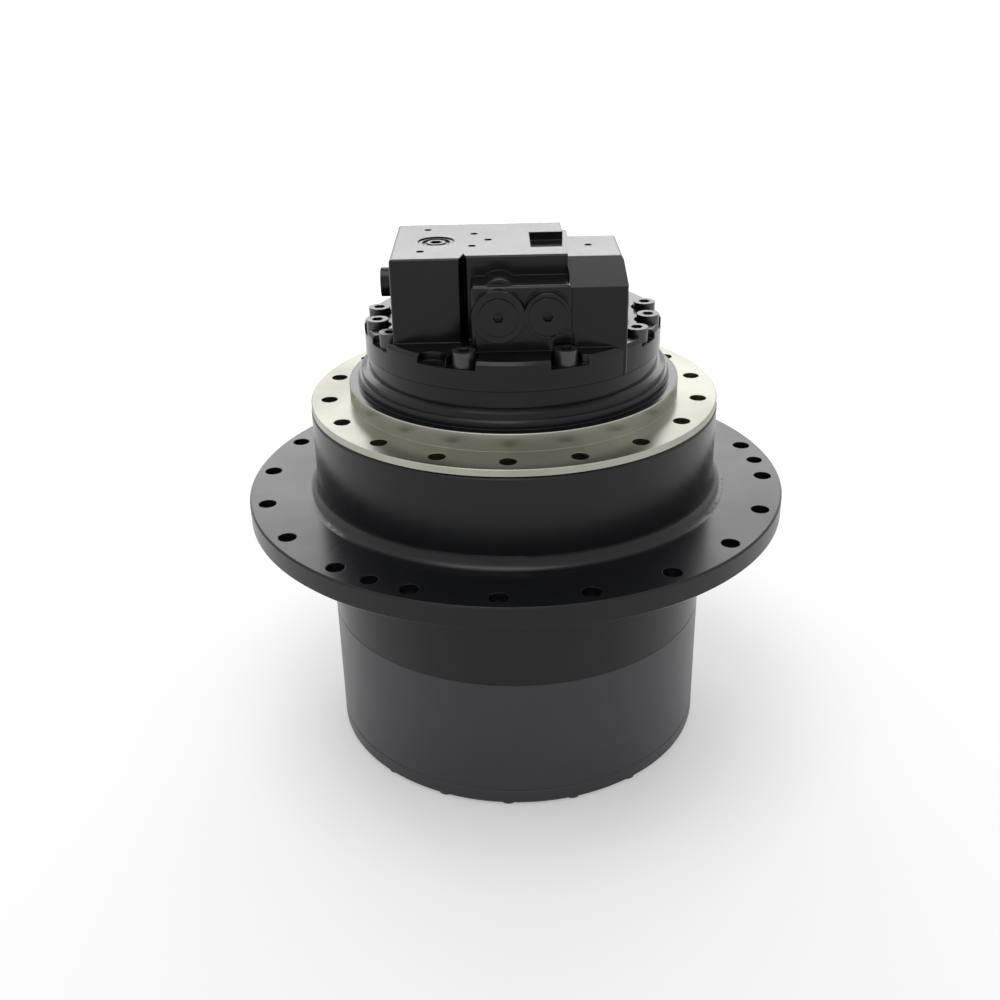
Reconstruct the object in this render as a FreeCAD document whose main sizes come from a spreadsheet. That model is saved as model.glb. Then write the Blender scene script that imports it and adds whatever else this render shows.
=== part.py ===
import FreeCAD, Part
import math
import os
import re
import Sketcher

# Excavator final drive: a two-stage planetary reduction gear with a swash-plate piston motor
# built into its spindle.  The spindle and the motor head are fixed to the track frame; the hub,
# which carries the sprocket, turns around them.  +Z is the gear axis and points from the gear
# cover to the motor head.  The origin is the centre of the gear cover's outer face.

Vector = FreeCAD.Vector
Rotation = FreeCAD.Rotation
Placement = FreeCAD.Placement
UP = Vector(0, 0, 1)
FULL_TURN = 360.0

doc = FreeCAD.newDocument("FinalDrive")

# ---------------------------------------------------------------- driving dimensions, millimetres
SIZES = (
    ("cover_rim", 18.0, "gear cover: thickness at the rim"),
    ("cover_rad", 193.0, "gear cover: outer radius"),
    ("cover_foot_rad", 188.5, "gear cover: radius of the face that it can stand on"),
    ("cover_plate", 14.0, "gear cover: thickness of the plate"),
    ("spigot_rad", 170.0, "register between ring gear, cover and hub"),
    ("spigot_rise", 4.0, "register height"),
    ("ring_len", 124.5, "ring gear: length"),
    ("joint_edge", 1.0, "chamfer at the joints of cover, ring gear and hub"),
    ("ring_rad", 193.0, "ring gear: outer radius"),
    ("drum_rad", 193.2, "hub: radius between ring gear and sprocket flange"),
    ("drum_len", 108.5, "hub: length between ring gear and sprocket flange"),
    ("flange_thick", 22.0, "sprocket flange: thickness"),
    ("flange_rad", 270.0, "sprocket flange: outer radius"),
    ("flange_edge", 1.6, "sprocket flange: edge chamfer"),
    ("hub_rad", 201.0, "hub: radius above the sprocket flange"),
    ("hub_wall", 87.0, "hub: height above the sprocket flange"),
    ("hub_edge", 2.0, "hub: chamfer of the top rim"),
    ("cove_rad", 12.0, "hub: cove between wall and sprocket flange"),
    ("shroud_rad", 195.5, "hub: bore of the rim that shrouds the spindle"),
    ("cavity_rad", 160.0, "hub: bore around the second carrier"),
    ("sprocket_circle", 253.0, "sprocket bolt circle radius"),
    ("sprocket_holes", 20, "sprocket bolt holes"),
    ("sprocket_hole_rad", 8.75, "sprocket bolt hole radius"),
    ("sprocket_turn", -94.2, "angle of the first sprocket bolt hole"),
    ("jack_hole_rad", 8.0, "jacking hole radius"),
    ("cover_circle", 182.0, "gear cover bolt circle radius"),
    ("cover_screw_count", 18, "gear cover screws"),
    ("cover_screw_rad", 6.0, "gear cover screw shank radius"),
    ("cover_head_rad", 9.0, "gear cover screw head radius"),
    ("cover_head_tall", 12.0, "gear cover screw head height"),
    ("cover_screw_grip", 30.0, "gear cover screw depth in the hub"),
    ("plug_rad", 11.0, "oil plug radius"),
    ("plug_circle", 110.0, "oil plug circle radius"),
    ("plug_count", 3, "oil plugs"),
    ("plug_turn", 30.0, "angle of the first oil plug"),
    ("lip_gap", 1.0, "running gap between hub rim and spindle flange"),
    ("lip_thick", 6.5, "spindle flange: thickness of the rim over the hub"),
    ("lip_rad", 200.4, "spindle flange: outer radius"),
    ("skirt_rad", 194.0, "spindle flange: radius inside the hub's shroud"),
    ("collar_rad", 162.0, "spindle: pilot collar radius"),
    ("collar_len", 17.0, "spindle: pilot collar height"),
    ("step_rad", 153.0, "spindle: radius above the pilot collar"),
    ("step_len", 8.0, "spindle: height of that step"),
    ("shoulder_rad", 149.0, "spindle: radius below the neck"),
    ("shoulder_len", 8.5, "spindle: height below the neck"),
    ("neck_rad", 141.5, "spindle: radius under the motor head"),
    ("neck_len", 15.0, "spindle: neck height"),
    ("frame_circle", 182.5, "track frame bolt circle radius"),
    ("frame_holes", 18, "track frame bolt holes"),
    ("frame_hole_rad", 8.0, "track frame bolt hole radius"),
    ("frame_hole_depth", 26.0, "track frame bolt hole depth"),
    ("frame_turn", -92.6, "angle of the first track frame bolt hole"),
    ("race_bore", 120.0, "main bearing: bore radius"),
    ("race_rad", 155.0, "main bearing: outer radius"),
    ("race_wide", 33.0, "main bearing: width"),
    ("race_gap", 4.0, "main bearing: half the gap between its races"),
    ("ball_rad", 11.0, "main bearing: ball radius"),
    ("ball_count", 26, "main bearing: balls in each row"),
    ("bearing_rise", 69.5, "lower main bearing above the ring gear"),
    ("bearing_space", 30.0, "space between the main bearings"),
    ("rib_rad", 147.0, "hub: bore of the rib between the bearings"),
    ("seal_seat_rad", 176.0, "floating seal: seat radius"),
    ("seal_half", 12.2, "floating seal: height of one half"),
    ("seal_rise", 5.8, "floating seal above the upper bearing"),
    ("seal_ring_bore", 150.0, "floating seal: bore radius"),
    ("seal_ring_rad", 165.5, "floating seal: ring radius"),
    ("seal_face_rad", 170.0, "floating seal: lapped face radius"),
    ("toric_rad", 5.0, "floating seal: rubber ring section radius"),
    ("core_rad", 134.0, "spindle: radius inside the floating seal"),
    ("nut_bore", 118.0, "bearing nut: thread radius"),
    ("nut_rad", 138.0, "bearing nut: outer radius"),
    ("nut_tall", 15.0, "bearing nut: height"),
    ("spindle_end_rise", 23.5, "spindle end above the ring gear"),
    ("spline_root", 109.0, "spindle spline: root radius"),
    ("spline_tip", 113.0, "spindle spline: tip radius"),
    ("spline_keys", 36, "spindle spline: keys"),
    ("case_bore", 86.0, "motor case: bore radius around the swash plate"),
    ("case_floor", 240.0, "motor case: floor level"),
    ("brake_seat", 326.0, "motor case: level of the brake plates' seat"),
    ("plate_rad", 90.0, "brake: radius inside the plate grooves"),
    ("plate_lug_rad", 94.0, "brake: radius of the separator plates' lugs"),
    ("plate_lugs", 12, "brake: lugs on a separator plate"),
    ("plate_lug_wide", 14.0, "brake: width of a lug's groove"),
    ("plate_stack", 26.0, "brake: height of the plate grooves"),
    ("brake_small_rad", 95.0, "brake piston: smaller bore radius"),
    ("brake_large_rad", 101.0, "brake piston: larger bore radius"),
    ("brake_step", 24.0, "brake piston: height of the smaller bore"),
    ("shaft_race_rad", 50.0, "shaft bearing: outer radius"),
    ("shaft_race_wide", 25.0, "shaft bearing: width"),
    ("shaft_race_floor", 208.0, "shaft bearing: level of its seat"),
    ("seal_rad", 34.0, "shaft seal: outer radius"),
    ("seal_tall", 14.0, "shaft seal: height"),
    ("shaft_rad", 22.5, "motor shaft: radius in its bearing"),
    ("servo_off", 64.0, "servo piston: distance from the axis"),
    ("servo_rad", 10.0, "servo piston: bore radius"),
    ("servo_depth", 28.0, "servo piston: bore depth"),
    ("tooth_size", 4.0, "gear module"),
    ("pressure_deg", 25.0, "gear pressure angle"),
    ("tooth_play", 0.2, "thinning of each tooth"),
    ("ring_teeth", 82, "ring gear teeth"),
    ("sun_one_teeth", 14, "first sun gear teeth"),
    ("sun_two_teeth", 18, "second sun gear teeth"),
    ("planets_one", 3, "first stage planets"),
    ("planets_two", 4, "second stage planets"),
    ("planet_one_low", 30.0, "first stage planets: lower face"),
    ("planet_one_wide", 32.0, "first stage planets: width"),
    ("planet_two_low", 88.0, "second stage planets: lower face"),
    ("planet_two_wide", 50.0, "second stage planets: width"),
    ("pin_one_rad", 15.0, "first stage planet pin radius"),
    ("pin_two_rad", 17.0, "second stage planet pin radius"),
    ("bush_wall", 8.0, "planet bush wall"),
    ("carrier_one_rad", 122.0, "first carrier: radius"),
    ("carrier_one_thick", 14.0, "first carrier: thickness"),
    ("carrier_two_rad", 148.0, "second carrier: radius"),
    ("carrier_two_bore", 45.0, "second carrier: bore radius"),
    ("carrier_sleeve_rad", 134.0, "second carrier: sleeve radius"),
    ("carrier_sleeve", 29.0, "second carrier: sleeve height"),
    ("carrier_circle", 98.0, "second carrier screw circle radius"),
    ("carrier_screw_rad", 6.0, "second carrier screw shank radius"),
    ("carrier_head_rad", 9.0, "second carrier screw head radius"),
    ("carrier_head_tall", 12.0, "second carrier screw head height"),
    ("carrier_screw_grip", 22.0, "second carrier screw depth in the spindle"),
    ("sun_bore", 19.5, "second sun gear: bore radius"),
    ("drive_rad", 16.0, "drive shaft: radius"),
    ("socket_tip", 13.0, "drive shaft spline: tip radius"),
    ("socket_root", 11.0, "drive shaft spline: root radius"),
    ("pad_rad", 28.0, "thrust pad: radius"),
    ("swash_centre", 296.0, "swash plate: level of its tilt axis"),
    ("swash_deg", 15.0, "swash plate: tilt at full stroke"),
    ("swash_face", 8.0, "swash plate: face below its tilt axis"),
    ("swash_thick", 12.0, "swash plate: thickness"),
    ("swash_rad", 58.0, "swash plate: radius"),
    ("rocker_rad", 50.0, "swash plate: radius of its rockers"),
    ("piston_circle", 43.0, "motor: piston circle radius"),
    ("piston_rad", 9.5, "motor: piston radius"),
    ("piston_count", 9, "motor: pistons"),
    ("piston_len", 78.0, "motor: piston length from ball centre to crown"),
    ("block_rad", 60.0, "cylinder block: radius"),
    ("block_key_rad", 63.0, "cylinder block: radius of the brake keys"),
    ("block_low", 322.0, "cylinder block: lower face"),
    ("valve_plate_thick", 7.0, "valve plate: thickness"),
    ("rear_race_tall", 20.0, "rear shaft bearing: top above the case"),
    ("socket_deep", 34.0, "drive shaft spline: length"),
    ("rear_race_rad", 21.0, "rear shaft bearing: outer radius"),
    ("rear_shaft_rad", 15.0, "motor shaft: radius in the rear bearing"),
    ("mid_shaft_rad", 18.0, "motor shaft: radius inside the block"),
    ("head_rad", 143.5, "motor head: flange radius"),
    ("head_flange", 27.0, "motor head: flange thickness"),
    ("head_tall", 104.0, "motor head: height over all"),
    ("head_step", 8.0, "motor head: right block lower by"),
    ("head_left", -110.0, "motor head: left side"),
    ("head_front", -84.0, "motor head: front of the left block"),
    ("head_back", 53.0, "motor head: back"),
    ("head_groove", -49.0, "motor head: right side of the left block"),
    ("head_mid_front", -76.0, "motor head: front of the middle block"),
    ("head_mid_right", 49.0, "motor head: right side of the middle block"),
    ("head_right", 101.0, "motor head: right side"),
    ("head_right_front", -105.0, "motor head: front of the right block"),
    ("head_right_back", 28.0, "motor head: back of the right block"),
    ("gallery_rad", 18.0, "motor head: radius of the boss above the relief valves"),
    ("gallery_across", -12.5, "motor head: place of that boss in X"),
    ("valve_front", -113.0, "motor head: front of the relief valve body"),
    ("valve_tall", 86.0, "motor head: height of the relief valve body"),
    ("valve_left", -38.0, "motor head: left side of the relief valve body"),
    ("relief_level", 61.0, "relief valves: level above the case"),
    ("relief_face", -122.0, "relief valves: front of their bosses"),
    ("relief_left", -14.0, "relief valves: left axis"),
    ("relief_right", 29.0, "relief valves: right axis"),
    ("boss_left_rad", 23.5, "relief valves: radius of the left boss"),
    ("boss_right_rad", 20.5, "relief valves: radius of the right boss"),
    ("relief_rad", 14.0, "relief valves: bore radius"),
    ("spool_level", 62.0, "counterbalance spool: level above the case"),
    ("spool_rad", 12.5, "counterbalance spool: bore radius"),
    ("spool_half", 62.0, "counterbalance spool: half length"),
    ("pilot_level", 39.0, "two-speed spool: level above the case"),
    ("pilot_off", 2.0, "two-speed spool: distance of its axis in Y"),
    ("pilot_port_rise", 42.0, "two-speed pilot port: height above the spool"),
    ("pilot_rad", 7.0, "two-speed spool: bore radius"),
    ("port_rad", 15.0, "work ports: radius"),
    ("port_left", -52.0, "work ports: left one"),
    ("port_right", 14.0, "work ports: right one"),
    ("port_deep", 24.0, "work ports: depth"),
    ("head_screw_circle", 131.0, "motor head screw circle radius"),
    ("head_screw_rad", 7.0, "motor head screw shank radius"),
    ("head_screw_grip", 28.0, "motor head screw depth in the case"),
    ("head_cap_rad", 10.5, "motor head screw head radius"),
    ("head_cap_tall", 14.0, "motor head screw head height"),
    ("head_seat", 18.8, "motor head: thickness under the screw heads"),
    ("running_fit", 0.03, "radial clearance of running fits"),
    ("loose_fit", 0.5, "clearance around screws and in hidden gaps"),
    ("film", 0.05, "oil film between flat running faces"),
)

# Levels and places that follow from the sizes above.
DERIVED = {
    "ring_top": "cover_rim + ring_len",
    "flange_low": "ring_top + drum_len",
    "flange_top": "flange_low + flange_thick",
    "hub_top": "flange_top + hub_wall",
    "lip_low": "hub_top + lip_gap",
    "frame_face": "lip_low + lip_thick",
    "collar_top": "frame_face + collar_len",
    "step_top": "collar_top + step_len",
    "neck_low": "step_top + shoulder_len",
    "case_top": "neck_low + neck_len",
    "head_low": "case_top + head_flange",
    "head_top": "case_top + head_tall",
    "right_top": "head_top - head_step",
    "lower_race": "ring_top + bearing_rise",
    "lower_race_top": "lower_race + race_wide",
    "upper_race": "lower_race_top + bearing_space",
    "upper_race_top": "upper_race + race_wide",
    "pitch_rad": "(race_bore + race_rad) / 2",
    "seal_floor": "upper_race_top + seal_rise",
    "seal_face": "seal_floor + seal_half",
    "seal_ceiling": "seal_face + seal_half",
    "hub_ledge": "seal_face - loose_fit",
    "skirt_low": "seal_face + lip_gap",
    "spindle_end": "ring_top + spindle_end_rise",
    "nut_low": "lower_race - nut_tall",
    "plate_low": "spindle_end - carrier_two_plate",
    "carrier_two_plate": "spindle_end_rise + loose_fit",
    "planet_one_top": "planet_one_low + planet_one_wide",
    "planet_two_top": "planet_two_low + planet_two_wide",
    "carrier_one_low": "planet_one_top + 4 * lip_gap",
    "carrier_one_top": "carrier_one_low + carrier_one_thick",
    "centre_one": "tooth_size * (ring_teeth + sun_one_teeth) / 4",
    "centre_two": "tooth_size * (ring_teeth + sun_two_teeth) / 4",
    "pad_low": "cover_rim",
    "pad_top": "planet_one_low - 5 * loose_fit",
    "plate_top": "brake_seat + plate_stack",
    "brake_step_top": "plate_top + brake_step",
    "block_top": "case_top - valve_plate_thick - film",
    "relief_z": "case_top + relief_level",
    "spool_z": "case_top + spool_level",
    "shaft_race_top": "shaft_race_floor + shaft_race_wide",
    "rear_race_top": "case_top + rear_race_tall",
    "shaft_low": "spindle_end + 20",
    "socket_low": "shaft_low + 4",
    "socket_top": "socket_low + socket_deep",
    "pilot_z": "case_top + pilot_level",
    "pilot_low": "head_mid_right + 3",
    "head_cap_low": "case_top + head_seat",
}

sheet = doc.addObject("Spreadsheet::Sheet", "Sizes")
for line, (alias, amount, meaning) in enumerate(SIZES, start=1):
    sheet.set("A%d" % line, meaning)
    sheet.set("B%d" % line, str(amount))
    sheet.setAlias("B%d" % line, alias)
doc.recompute()

ALIASES = {alias for alias, amount, meaning in SIZES}


def formula(text):
    """Turn words such as 'hub_rad + cove_rad' into an expression on the sheet's cells."""
    def replace(match):
        word = match.group(0)
        if word in DERIVED:
            return "(" + formula(DERIVED[word]) + ")"
        return "Sizes." + word if word in ALIASES else word
    return re.sub(r"[a-z_]+", replace, str(text))


def value(text):
    """The number that a formula gives now."""
    return float(sheet.evalExpression(formula(text)))


def bind(thing, **sizes):
    """Bind properties, written with two underscores for each dot, to formulas."""
    for name, text in sizes.items():
        thing.setExpression(name.replace("__", "."), formula(text))


# ---------------------------------------------------------------- ways of making pieces
def origin_plane(body, role):
    for feature in body.Origin.OriginFeatures:
        if feature.Role == role:
            return feature
    raise ValueError("no origin feature " + role)


def hold(sketch, corner, across, along):
    """Hold the start of one edge of a sketch at a place bound to the sheet."""
    for kind, axis, text in (("DistanceX", -2, across), ("DistanceY", -1, along)):
        if text == "0":
            sketch.addConstraint(Sketcher.Constraint("PointOnObject", corner, 1, axis))
            continue
        index = sketch.addConstraint(
            Sketcher.Constraint(kind, -1, 1, corner, 1, value(text)))
        sketch.setExpression("Constraints[%d]" % index, formula(text))


def outline(body, name, role, corners, level="0", turn="0"):
    """A closed outline of straight edges on one of the body's planes."""
    sketch = body.newObject("Sketcher::SketchObject", name)
    sketch.AttachmentSupport = (origin_plane(body, role), [""])
    sketch.MapMode = "FlatFace"
    sketch.AttachmentOffset = Placement(Vector(0, 0, value(level)), Rotation(UP, value(turn)))
    bind(sketch, AttachmentOffset__Base__z=level, AttachmentOffset__Rotation__Angle=turn)
    points = [Vector(value(across), value(along), 0) for across, along in corners]
    for start, end in zip(points, points[1:] + points[:1]):
        sketch.addGeometry(Part.LineSegment(start, end), False)
    for edge in range(len(points)):
        following = (edge + 1) % len(points)
        sketch.addConstraint(Sketcher.Constraint("Coincident", edge, 2, following, 1))
    for edge, (across, along) in enumerate(corners):
        hold(sketch, edge, across, along)
    return sketch


def disc(body, name, role, radius, across, along="0", level="0", turn="0"):
    """A round outline on one of the body's planes."""
    sketch = body.newObject("Sketcher::SketchObject", name)
    sketch.AttachmentSupport = (origin_plane(body, role), [""])
    sketch.MapMode = "FlatFace"
    sketch.AttachmentOffset = Placement(Vector(0, 0, value(level)), Rotation(UP, value(turn)))
    bind(sketch, AttachmentOffset__Base__z=level, AttachmentOffset__Rotation__Angle=turn)
    centre = Vector(value(across), value(along), 0)
    sketch.addGeometry(Part.Circle(centre, UP, value(radius)), False)
    for kind, axis, text in (("DistanceX", -2, across), ("DistanceY", -1, along)):
        if text == "0":
            sketch.addConstraint(Sketcher.Constraint("PointOnObject", 0, 3, axis))
            continue
        index = sketch.addConstraint(Sketcher.Constraint(kind, -1, 1, 0, 3, value(text)))
        sketch.setExpression("Constraints[%d]" % index, formula(text))
    index = sketch.addConstraint(Sketcher.Constraint("Radius", 0, value(radius)))
    sketch.setExpression("Constraints[%d]" % index, formula(radius))
    return sketch


def turned(name, *corners):
    """A turned piece: the outline of its half section, as radius and level, spun about Z."""
    body = doc.addObject("PartDesign::Body", name)
    section = outline(body, name + "_section", "XZ_Plane", corners)
    spin = body.newObject("PartDesign::Revolution", name + "_turned")
    spin.Profile = (section, [""])
    spin.ReferenceAxis = (section, ["V_Axis"])
    spin.Angle = FULL_TURN
    return body


def ring_groove(body, name, radius, across, along):
    """A round groove turned into the piece, centred at the given radius and level."""
    section = disc(body, name + "_section", "XZ_Plane", radius, across, along)
    groove = body.newObject("PartDesign::Groove", name)
    groove.Profile = (section, [""])
    groove.ReferenceAxis = (section, ["V_Axis"])
    groove.Angle = FULL_TURN


def around(body, feature, count):
    """Repeat a feature around the axis."""
    pattern = body.newObject("PartDesign::PolarPattern", feature.Name + "_around")
    pattern.Originals = [feature]
    pattern.Axis = (origin_plane(body, "Z_Axis"), [""])
    pattern.Angle = FULL_TURN
    pattern.Occurrences = int(value(count))
    bind(pattern, Occurrences=count)
    body.Tip = pattern


def drill(body, name, radius, circle, top, depth, turn="0", count="1", upward=False):
    """Holes along Z on a circle, from a level down, or upward from it."""
    mouth = disc(body, name + "_mouth", "XY_Plane", radius, circle, "0", top, turn)
    hole = body.newObject("PartDesign::Pocket", name)
    hole.Profile = (mouth, [""])
    hole.Reversed = upward
    bind(hole, Length=depth)
    if count != "1":
        around(body, hole, count)


def notch(body, name, inner, outer, width, top, depth, turn="0", count="1"):
    """Straight-sided slots cut down from a level, from an inner to an outer radius."""
    half = "(" + width + ") / 2"
    corners = ((inner, "-" + half), (outer, "-" + half), (outer, half), (inner, half))
    mouth = outline(body, name + "_mouth", "XY_Plane", corners, top, turn)
    slot = body.newObject("PartDesign::Pocket", name)
    slot.Profile = (mouth, [""])
    bind(slot, Length=depth)
    if count != "1":
        around(body, slot, count)


def rod(name, radius, along, start, length, place=("0", "0")):
    """A round bar along X, Y or Z from a start, at the given place on the other two axes."""
    bar = doc.addObject("Part::Cylinder", name)
    bind(bar, Radius=radius, Height=length)
    if along == "X":
        bar.Placement = Placement(Vector(), Rotation(Vector(0, 1, 0), 90))
        where = (start, place[0], place[1])
    elif along == "Y":
        bar.Placement = Placement(Vector(), Rotation(Vector(1, 0, 0), -90))
        where = (place[0], start, place[1])
    else:
        where = (place[0], place[1], start)
    bind(bar, Placement__Base__x=where[0], Placement__Base__y=where[1], Placement__Base__z=where[2])
    return bar


def block(name, low, high):
    """A box between two corners, each three formulas."""
    brick = doc.addObject("Part::Box", name)
    for side, axis, start, end in zip(("Length", "Width", "Height"), "xyz", low, high):
        brick.setExpression(side, formula("(%s) - (%s)" % (end, start)))
        brick.setExpression("Placement.Base." + axis, formula(start))
    return brick


def fused(name, *pieces):
    whole = doc.addObject("Part::MultiFuse", name)
    whole.Shapes = list(pieces)
    return whole


def cut(name, base, *tools):
    """The base less its tools."""
    rest = doc.addObject("Part::Cut", name)
    rest.Base = base
    rest.Tool = tools[0] if len(tools) == 1 else fused(name + "_tools", *tools)
    return rest


def set_of(name, *pieces):
    """Several separate pieces of one kind as one sub-part."""
    whole = doc.addObject("Part::Compound", name)
    whole.Links = list(pieces)
    return whole


def shaped(name, shape, placement=None):
    """A piece whose shape is worked out here, from the sheet's numbers."""
    piece = doc.addObject("Part::Feature", name)
    piece.Shape = shape
    if placement is not None:
        piece.Placement = placement
    return piece


def on_circle(radius, degrees, level=0.0):
    turn = math.radians(degrees)
    return Vector(radius * math.cos(turn), radius * math.sin(turn), level)


def post(radius, low, high, place=None):
    """An upright round solid between two levels."""
    base = Vector(0, 0, low) if place is None else Vector(place.x, place.y, low)
    return Part.makeCylinder(radius, high - low, base)


def hexagon(across_flats, low, high, place):
    """An upright six-sided solid, the shape of a key socket."""
    reach = across_flats / math.sqrt(3)
    centre = Vector(place.x, place.y, low)
    corners = [centre + on_circle(reach, 60 * k) for k in range(7)]
    return Part.Face(Part.makePolygon(corners)).extrude(Vector(0, 0, high - low))


def coil(radius, wire, low, high, turns):
    """A coil spring standing on Z between two levels."""
    length = high - low - 2 * wire
    path = Part.makeHelix(length / turns, length, radius)
    path.translate(Vector(0, 0, low + wire))
    section = Part.Wire(Part.makeCircle(wire, Vector(radius, 0, low + wire), Vector(0, 1, 0)))
    return Part.Wire(path.Edges).makePipeShell([section], True, True)


# ---------------------------------------------------------------- gear teeth
def involute(angle):
    return math.tan(angle) - angle


def toothed_face(teeth, root, tip, play, turn=0.0):
    """The face inside a gear's outline; play thins the teeth, or widens them where negative."""
    size = value("tooth_size")
    pressure = math.radians(value("pressure_deg"))
    pitch = size * teeth / 2
    base = pitch * math.cos(pressure)

    def half_tooth(radius):
        lean = math.acos(min(1.0, base / radius))
        half = math.pi / (2 * teeth) - play / (2 * pitch)
        return math.degrees(half + involute(pressure) - involute(lean))

    start = max(root, base)
    middle = (start + tip) / 2
    step = FULL_TURN / teeth
    edges = []
    for tooth in range(teeth):
        centre = turn + tooth * step
        rise = [on_circle(r, centre - half_tooth(r)) for r in (start, middle, tip)]
        fall = [on_circle(r, centre + half_tooth(r)) for r in (tip, middle, start)]
        foot = on_circle(root, centre + half_tooth(start))
        valley = on_circle(root, centre + step / 2)
        next_foot = on_circle(root, centre + step - half_tooth(start))
        if root < base:
            heel = on_circle(root, centre - half_tooth(start))
            edges.append(Part.LineSegment(heel, rise[0]).toShape())
        edges.append(Part.Arc(*rise).toShape())
        edges.append(Part.Arc(rise[2], on_circle(tip, centre), fall[0]).toShape())
        edges.append(Part.Arc(*fall).toShape())
        if root < base:
            edges.append(Part.LineSegment(fall[2], foot).toShape())
        edges.append(Part.Arc(foot, valley, next_foot).toShape())
    return Part.Face(Part.Wire(edges))


def gear_solid(teeth, low, high, turn=0.0):
    """A solid external gear with standard tooth height."""
    pitch = value("tooth_size") * teeth / 2
    face = toothed_face(teeth, pitch - 1.25 * value("tooth_size"), pitch + value("tooth_size"),
                        value("tooth_play"), turn)
    face.translate(Vector(0, 0, low))
    return face.extrude(Vector(0, 0, high - low))


def splined_solid(root, tip, keys, low, high, gap=0.0):
    """A splined bar with straight keys; gap enlarges it all over, for the bore that it fits."""
    half = math.pi * (root + tip) / (4 * keys) - 0.3 + gap
    inner = root + gap
    outer = tip + gap
    edges = []
    for key in range(keys):
        centre = FULL_TURN * key / keys
        lean_in = math.degrees(math.asin(half / inner))
        lean_out = math.degrees(math.asin(half / outer))
        foot = on_circle(inner, centre - lean_in)
        rise = on_circle(outer, centre - lean_out)
        fall = on_circle(outer, centre + lean_out)
        heel = on_circle(inner, centre + lean_in)
        next_foot = on_circle(inner, centre + FULL_TURN / keys - lean_in)
        valley = on_circle(inner, centre + FULL_TURN / keys / 2)
        edges.append(Part.LineSegment(foot, rise).toShape())
        edges.append(Part.Arc(rise, on_circle(outer, centre), fall).toShape())
        edges.append(Part.LineSegment(fall, heel).toShape())
        edges.append(Part.Arc(heel, valley, next_foot).toShape())
    face = Part.Face(Part.Wire(edges))
    face.translate(Vector(0, 0, low))
    return face.extrude(Vector(0, 0, high - low))


SPLINE_GAP = 0.08

# The jacking holes lie half-way between two sprocket bolts, so many pitches from the first.
JACK_PITCHES = ("-1.5", "5.5", "12.5")
# Angles of the screws that are not evenly spaced, from +X.
CARRIER_SCREW_TURNS = ("31", "59", "121", "149", "211", "239", "301", "329")
HEAD_SCREW_TURNS = ("-70", "-30", "-11", "7", "60", "120", "173", "191", "210", "250")

nodes = []


def keep(piece):
    """List a finished sub-part for export."""
    nodes.append(piece)
    return piece


# ---------------------------------------------------------------- hub and casing, which turn
def make_hub():
    """Hub casting with the sprocket flange, the bearing seats and the moving seal's seat."""
    hub = turned(
        "hub",
        ("cavity_rad", "ring_top - spigot_rise + loose_fit"),
        ("spigot_rad", "ring_top - spigot_rise + loose_fit"),
        ("spigot_rad", "ring_top"), ("drum_rad - joint_edge", "ring_top"),
        ("drum_rad", "ring_top + joint_edge"),
        ("drum_rad", "flange_low"), ("flange_rad - flange_edge", "flange_low"),
        ("flange_rad", "flange_low + flange_edge"), ("flange_rad", "flange_top - flange_edge"),
        ("flange_rad - flange_edge", "flange_top"), ("hub_rad + cove_rad", "flange_top"),
        ("hub_rad + cove_rad", "flange_top + cove_rad"), ("hub_rad", "flange_top + cove_rad"),
        ("hub_rad", "hub_top - hub_edge"), ("hub_rad - hub_edge", "hub_top"),
        ("shroud_rad", "hub_top"), ("shroud_rad", "hub_ledge"),
        ("seal_seat_rad", "hub_ledge"), ("seal_seat_rad", "seal_floor"),
        ("race_rad", "seal_floor"), ("race_rad", "upper_race"),
        ("rib_rad", "upper_race"), ("rib_rad", "lower_race_top"),
        ("race_rad", "lower_race_top"), ("race_rad", "nut_low + nut_tall / 2"),
        ("cavity_rad", "nut_low"))
    ring_groove(hub, "hub_cove", "cove_rad", "hub_rad + cove_rad", "flange_top + cove_rad")
    drill(hub, "hub_sprocket_holes", "sprocket_hole_rad", "sprocket_circle", "flange_top",
          "flange_thick", "sprocket_turn", "sprocket_holes")
    for number, pitches in enumerate(JACK_PITCHES):
        drill(hub, "hub_jack_hole_%d" % number, "jack_hole_rad", "sprocket_circle", "flange_top",
              "flange_thick", "sprocket_turn + (%s) * 360 / sprocket_holes" % pitches)
    drill(hub, "hub_ring_holes", "cover_screw_rad", "cover_circle", "ring_top",
          "cover_screw_grip + 5", "sprocket_turn", "cover_screw_count", upward=True)
    return keep(hub)


def make_ring_gear():
    """Ring gear between hub and cover, with a register at each end and through holes."""
    size = value("tooth_size")
    teeth = int(value("ring_teeth"))
    pitch = size * teeth / 2
    low = value("cover_rim")
    top = value("ring_top")
    rise = value("spigot_rise")
    fit = value("running_fit")
    shape = post(value("ring_rad"), low, top)
    rims = [edge for edge in shape.Edges if len(edge.Vertexes) == 1]
    shape = shape.makeChamfer(value("joint_edge"), rims)
    space = toothed_face(teeth, pitch - size, pitch + 1.25 * size, -value("tooth_play"),
                         FULL_TURN / teeth / 2)
    space.translate(Vector(0, 0, low))
    shape = shape.cut(space.extrude(Vector(0, 0, top - low)))
    register = value("spigot_rad") + fit
    shape = shape.cut(post(register, low, low + rise))
    shape = shape.cut(post(register, top - rise, top))
    count = int(value("cover_screw_count"))
    clear = value("cover_screw_rad + loose_fit")
    for k in range(count):
        place = on_circle(value("cover_circle"), value("sprocket_turn") + FULL_TURN * k / count)
        shape = shape.cut(post(clear, low, top, place))
    return keep(shaped("ring_gear", shape.removeSplitter()))


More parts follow.
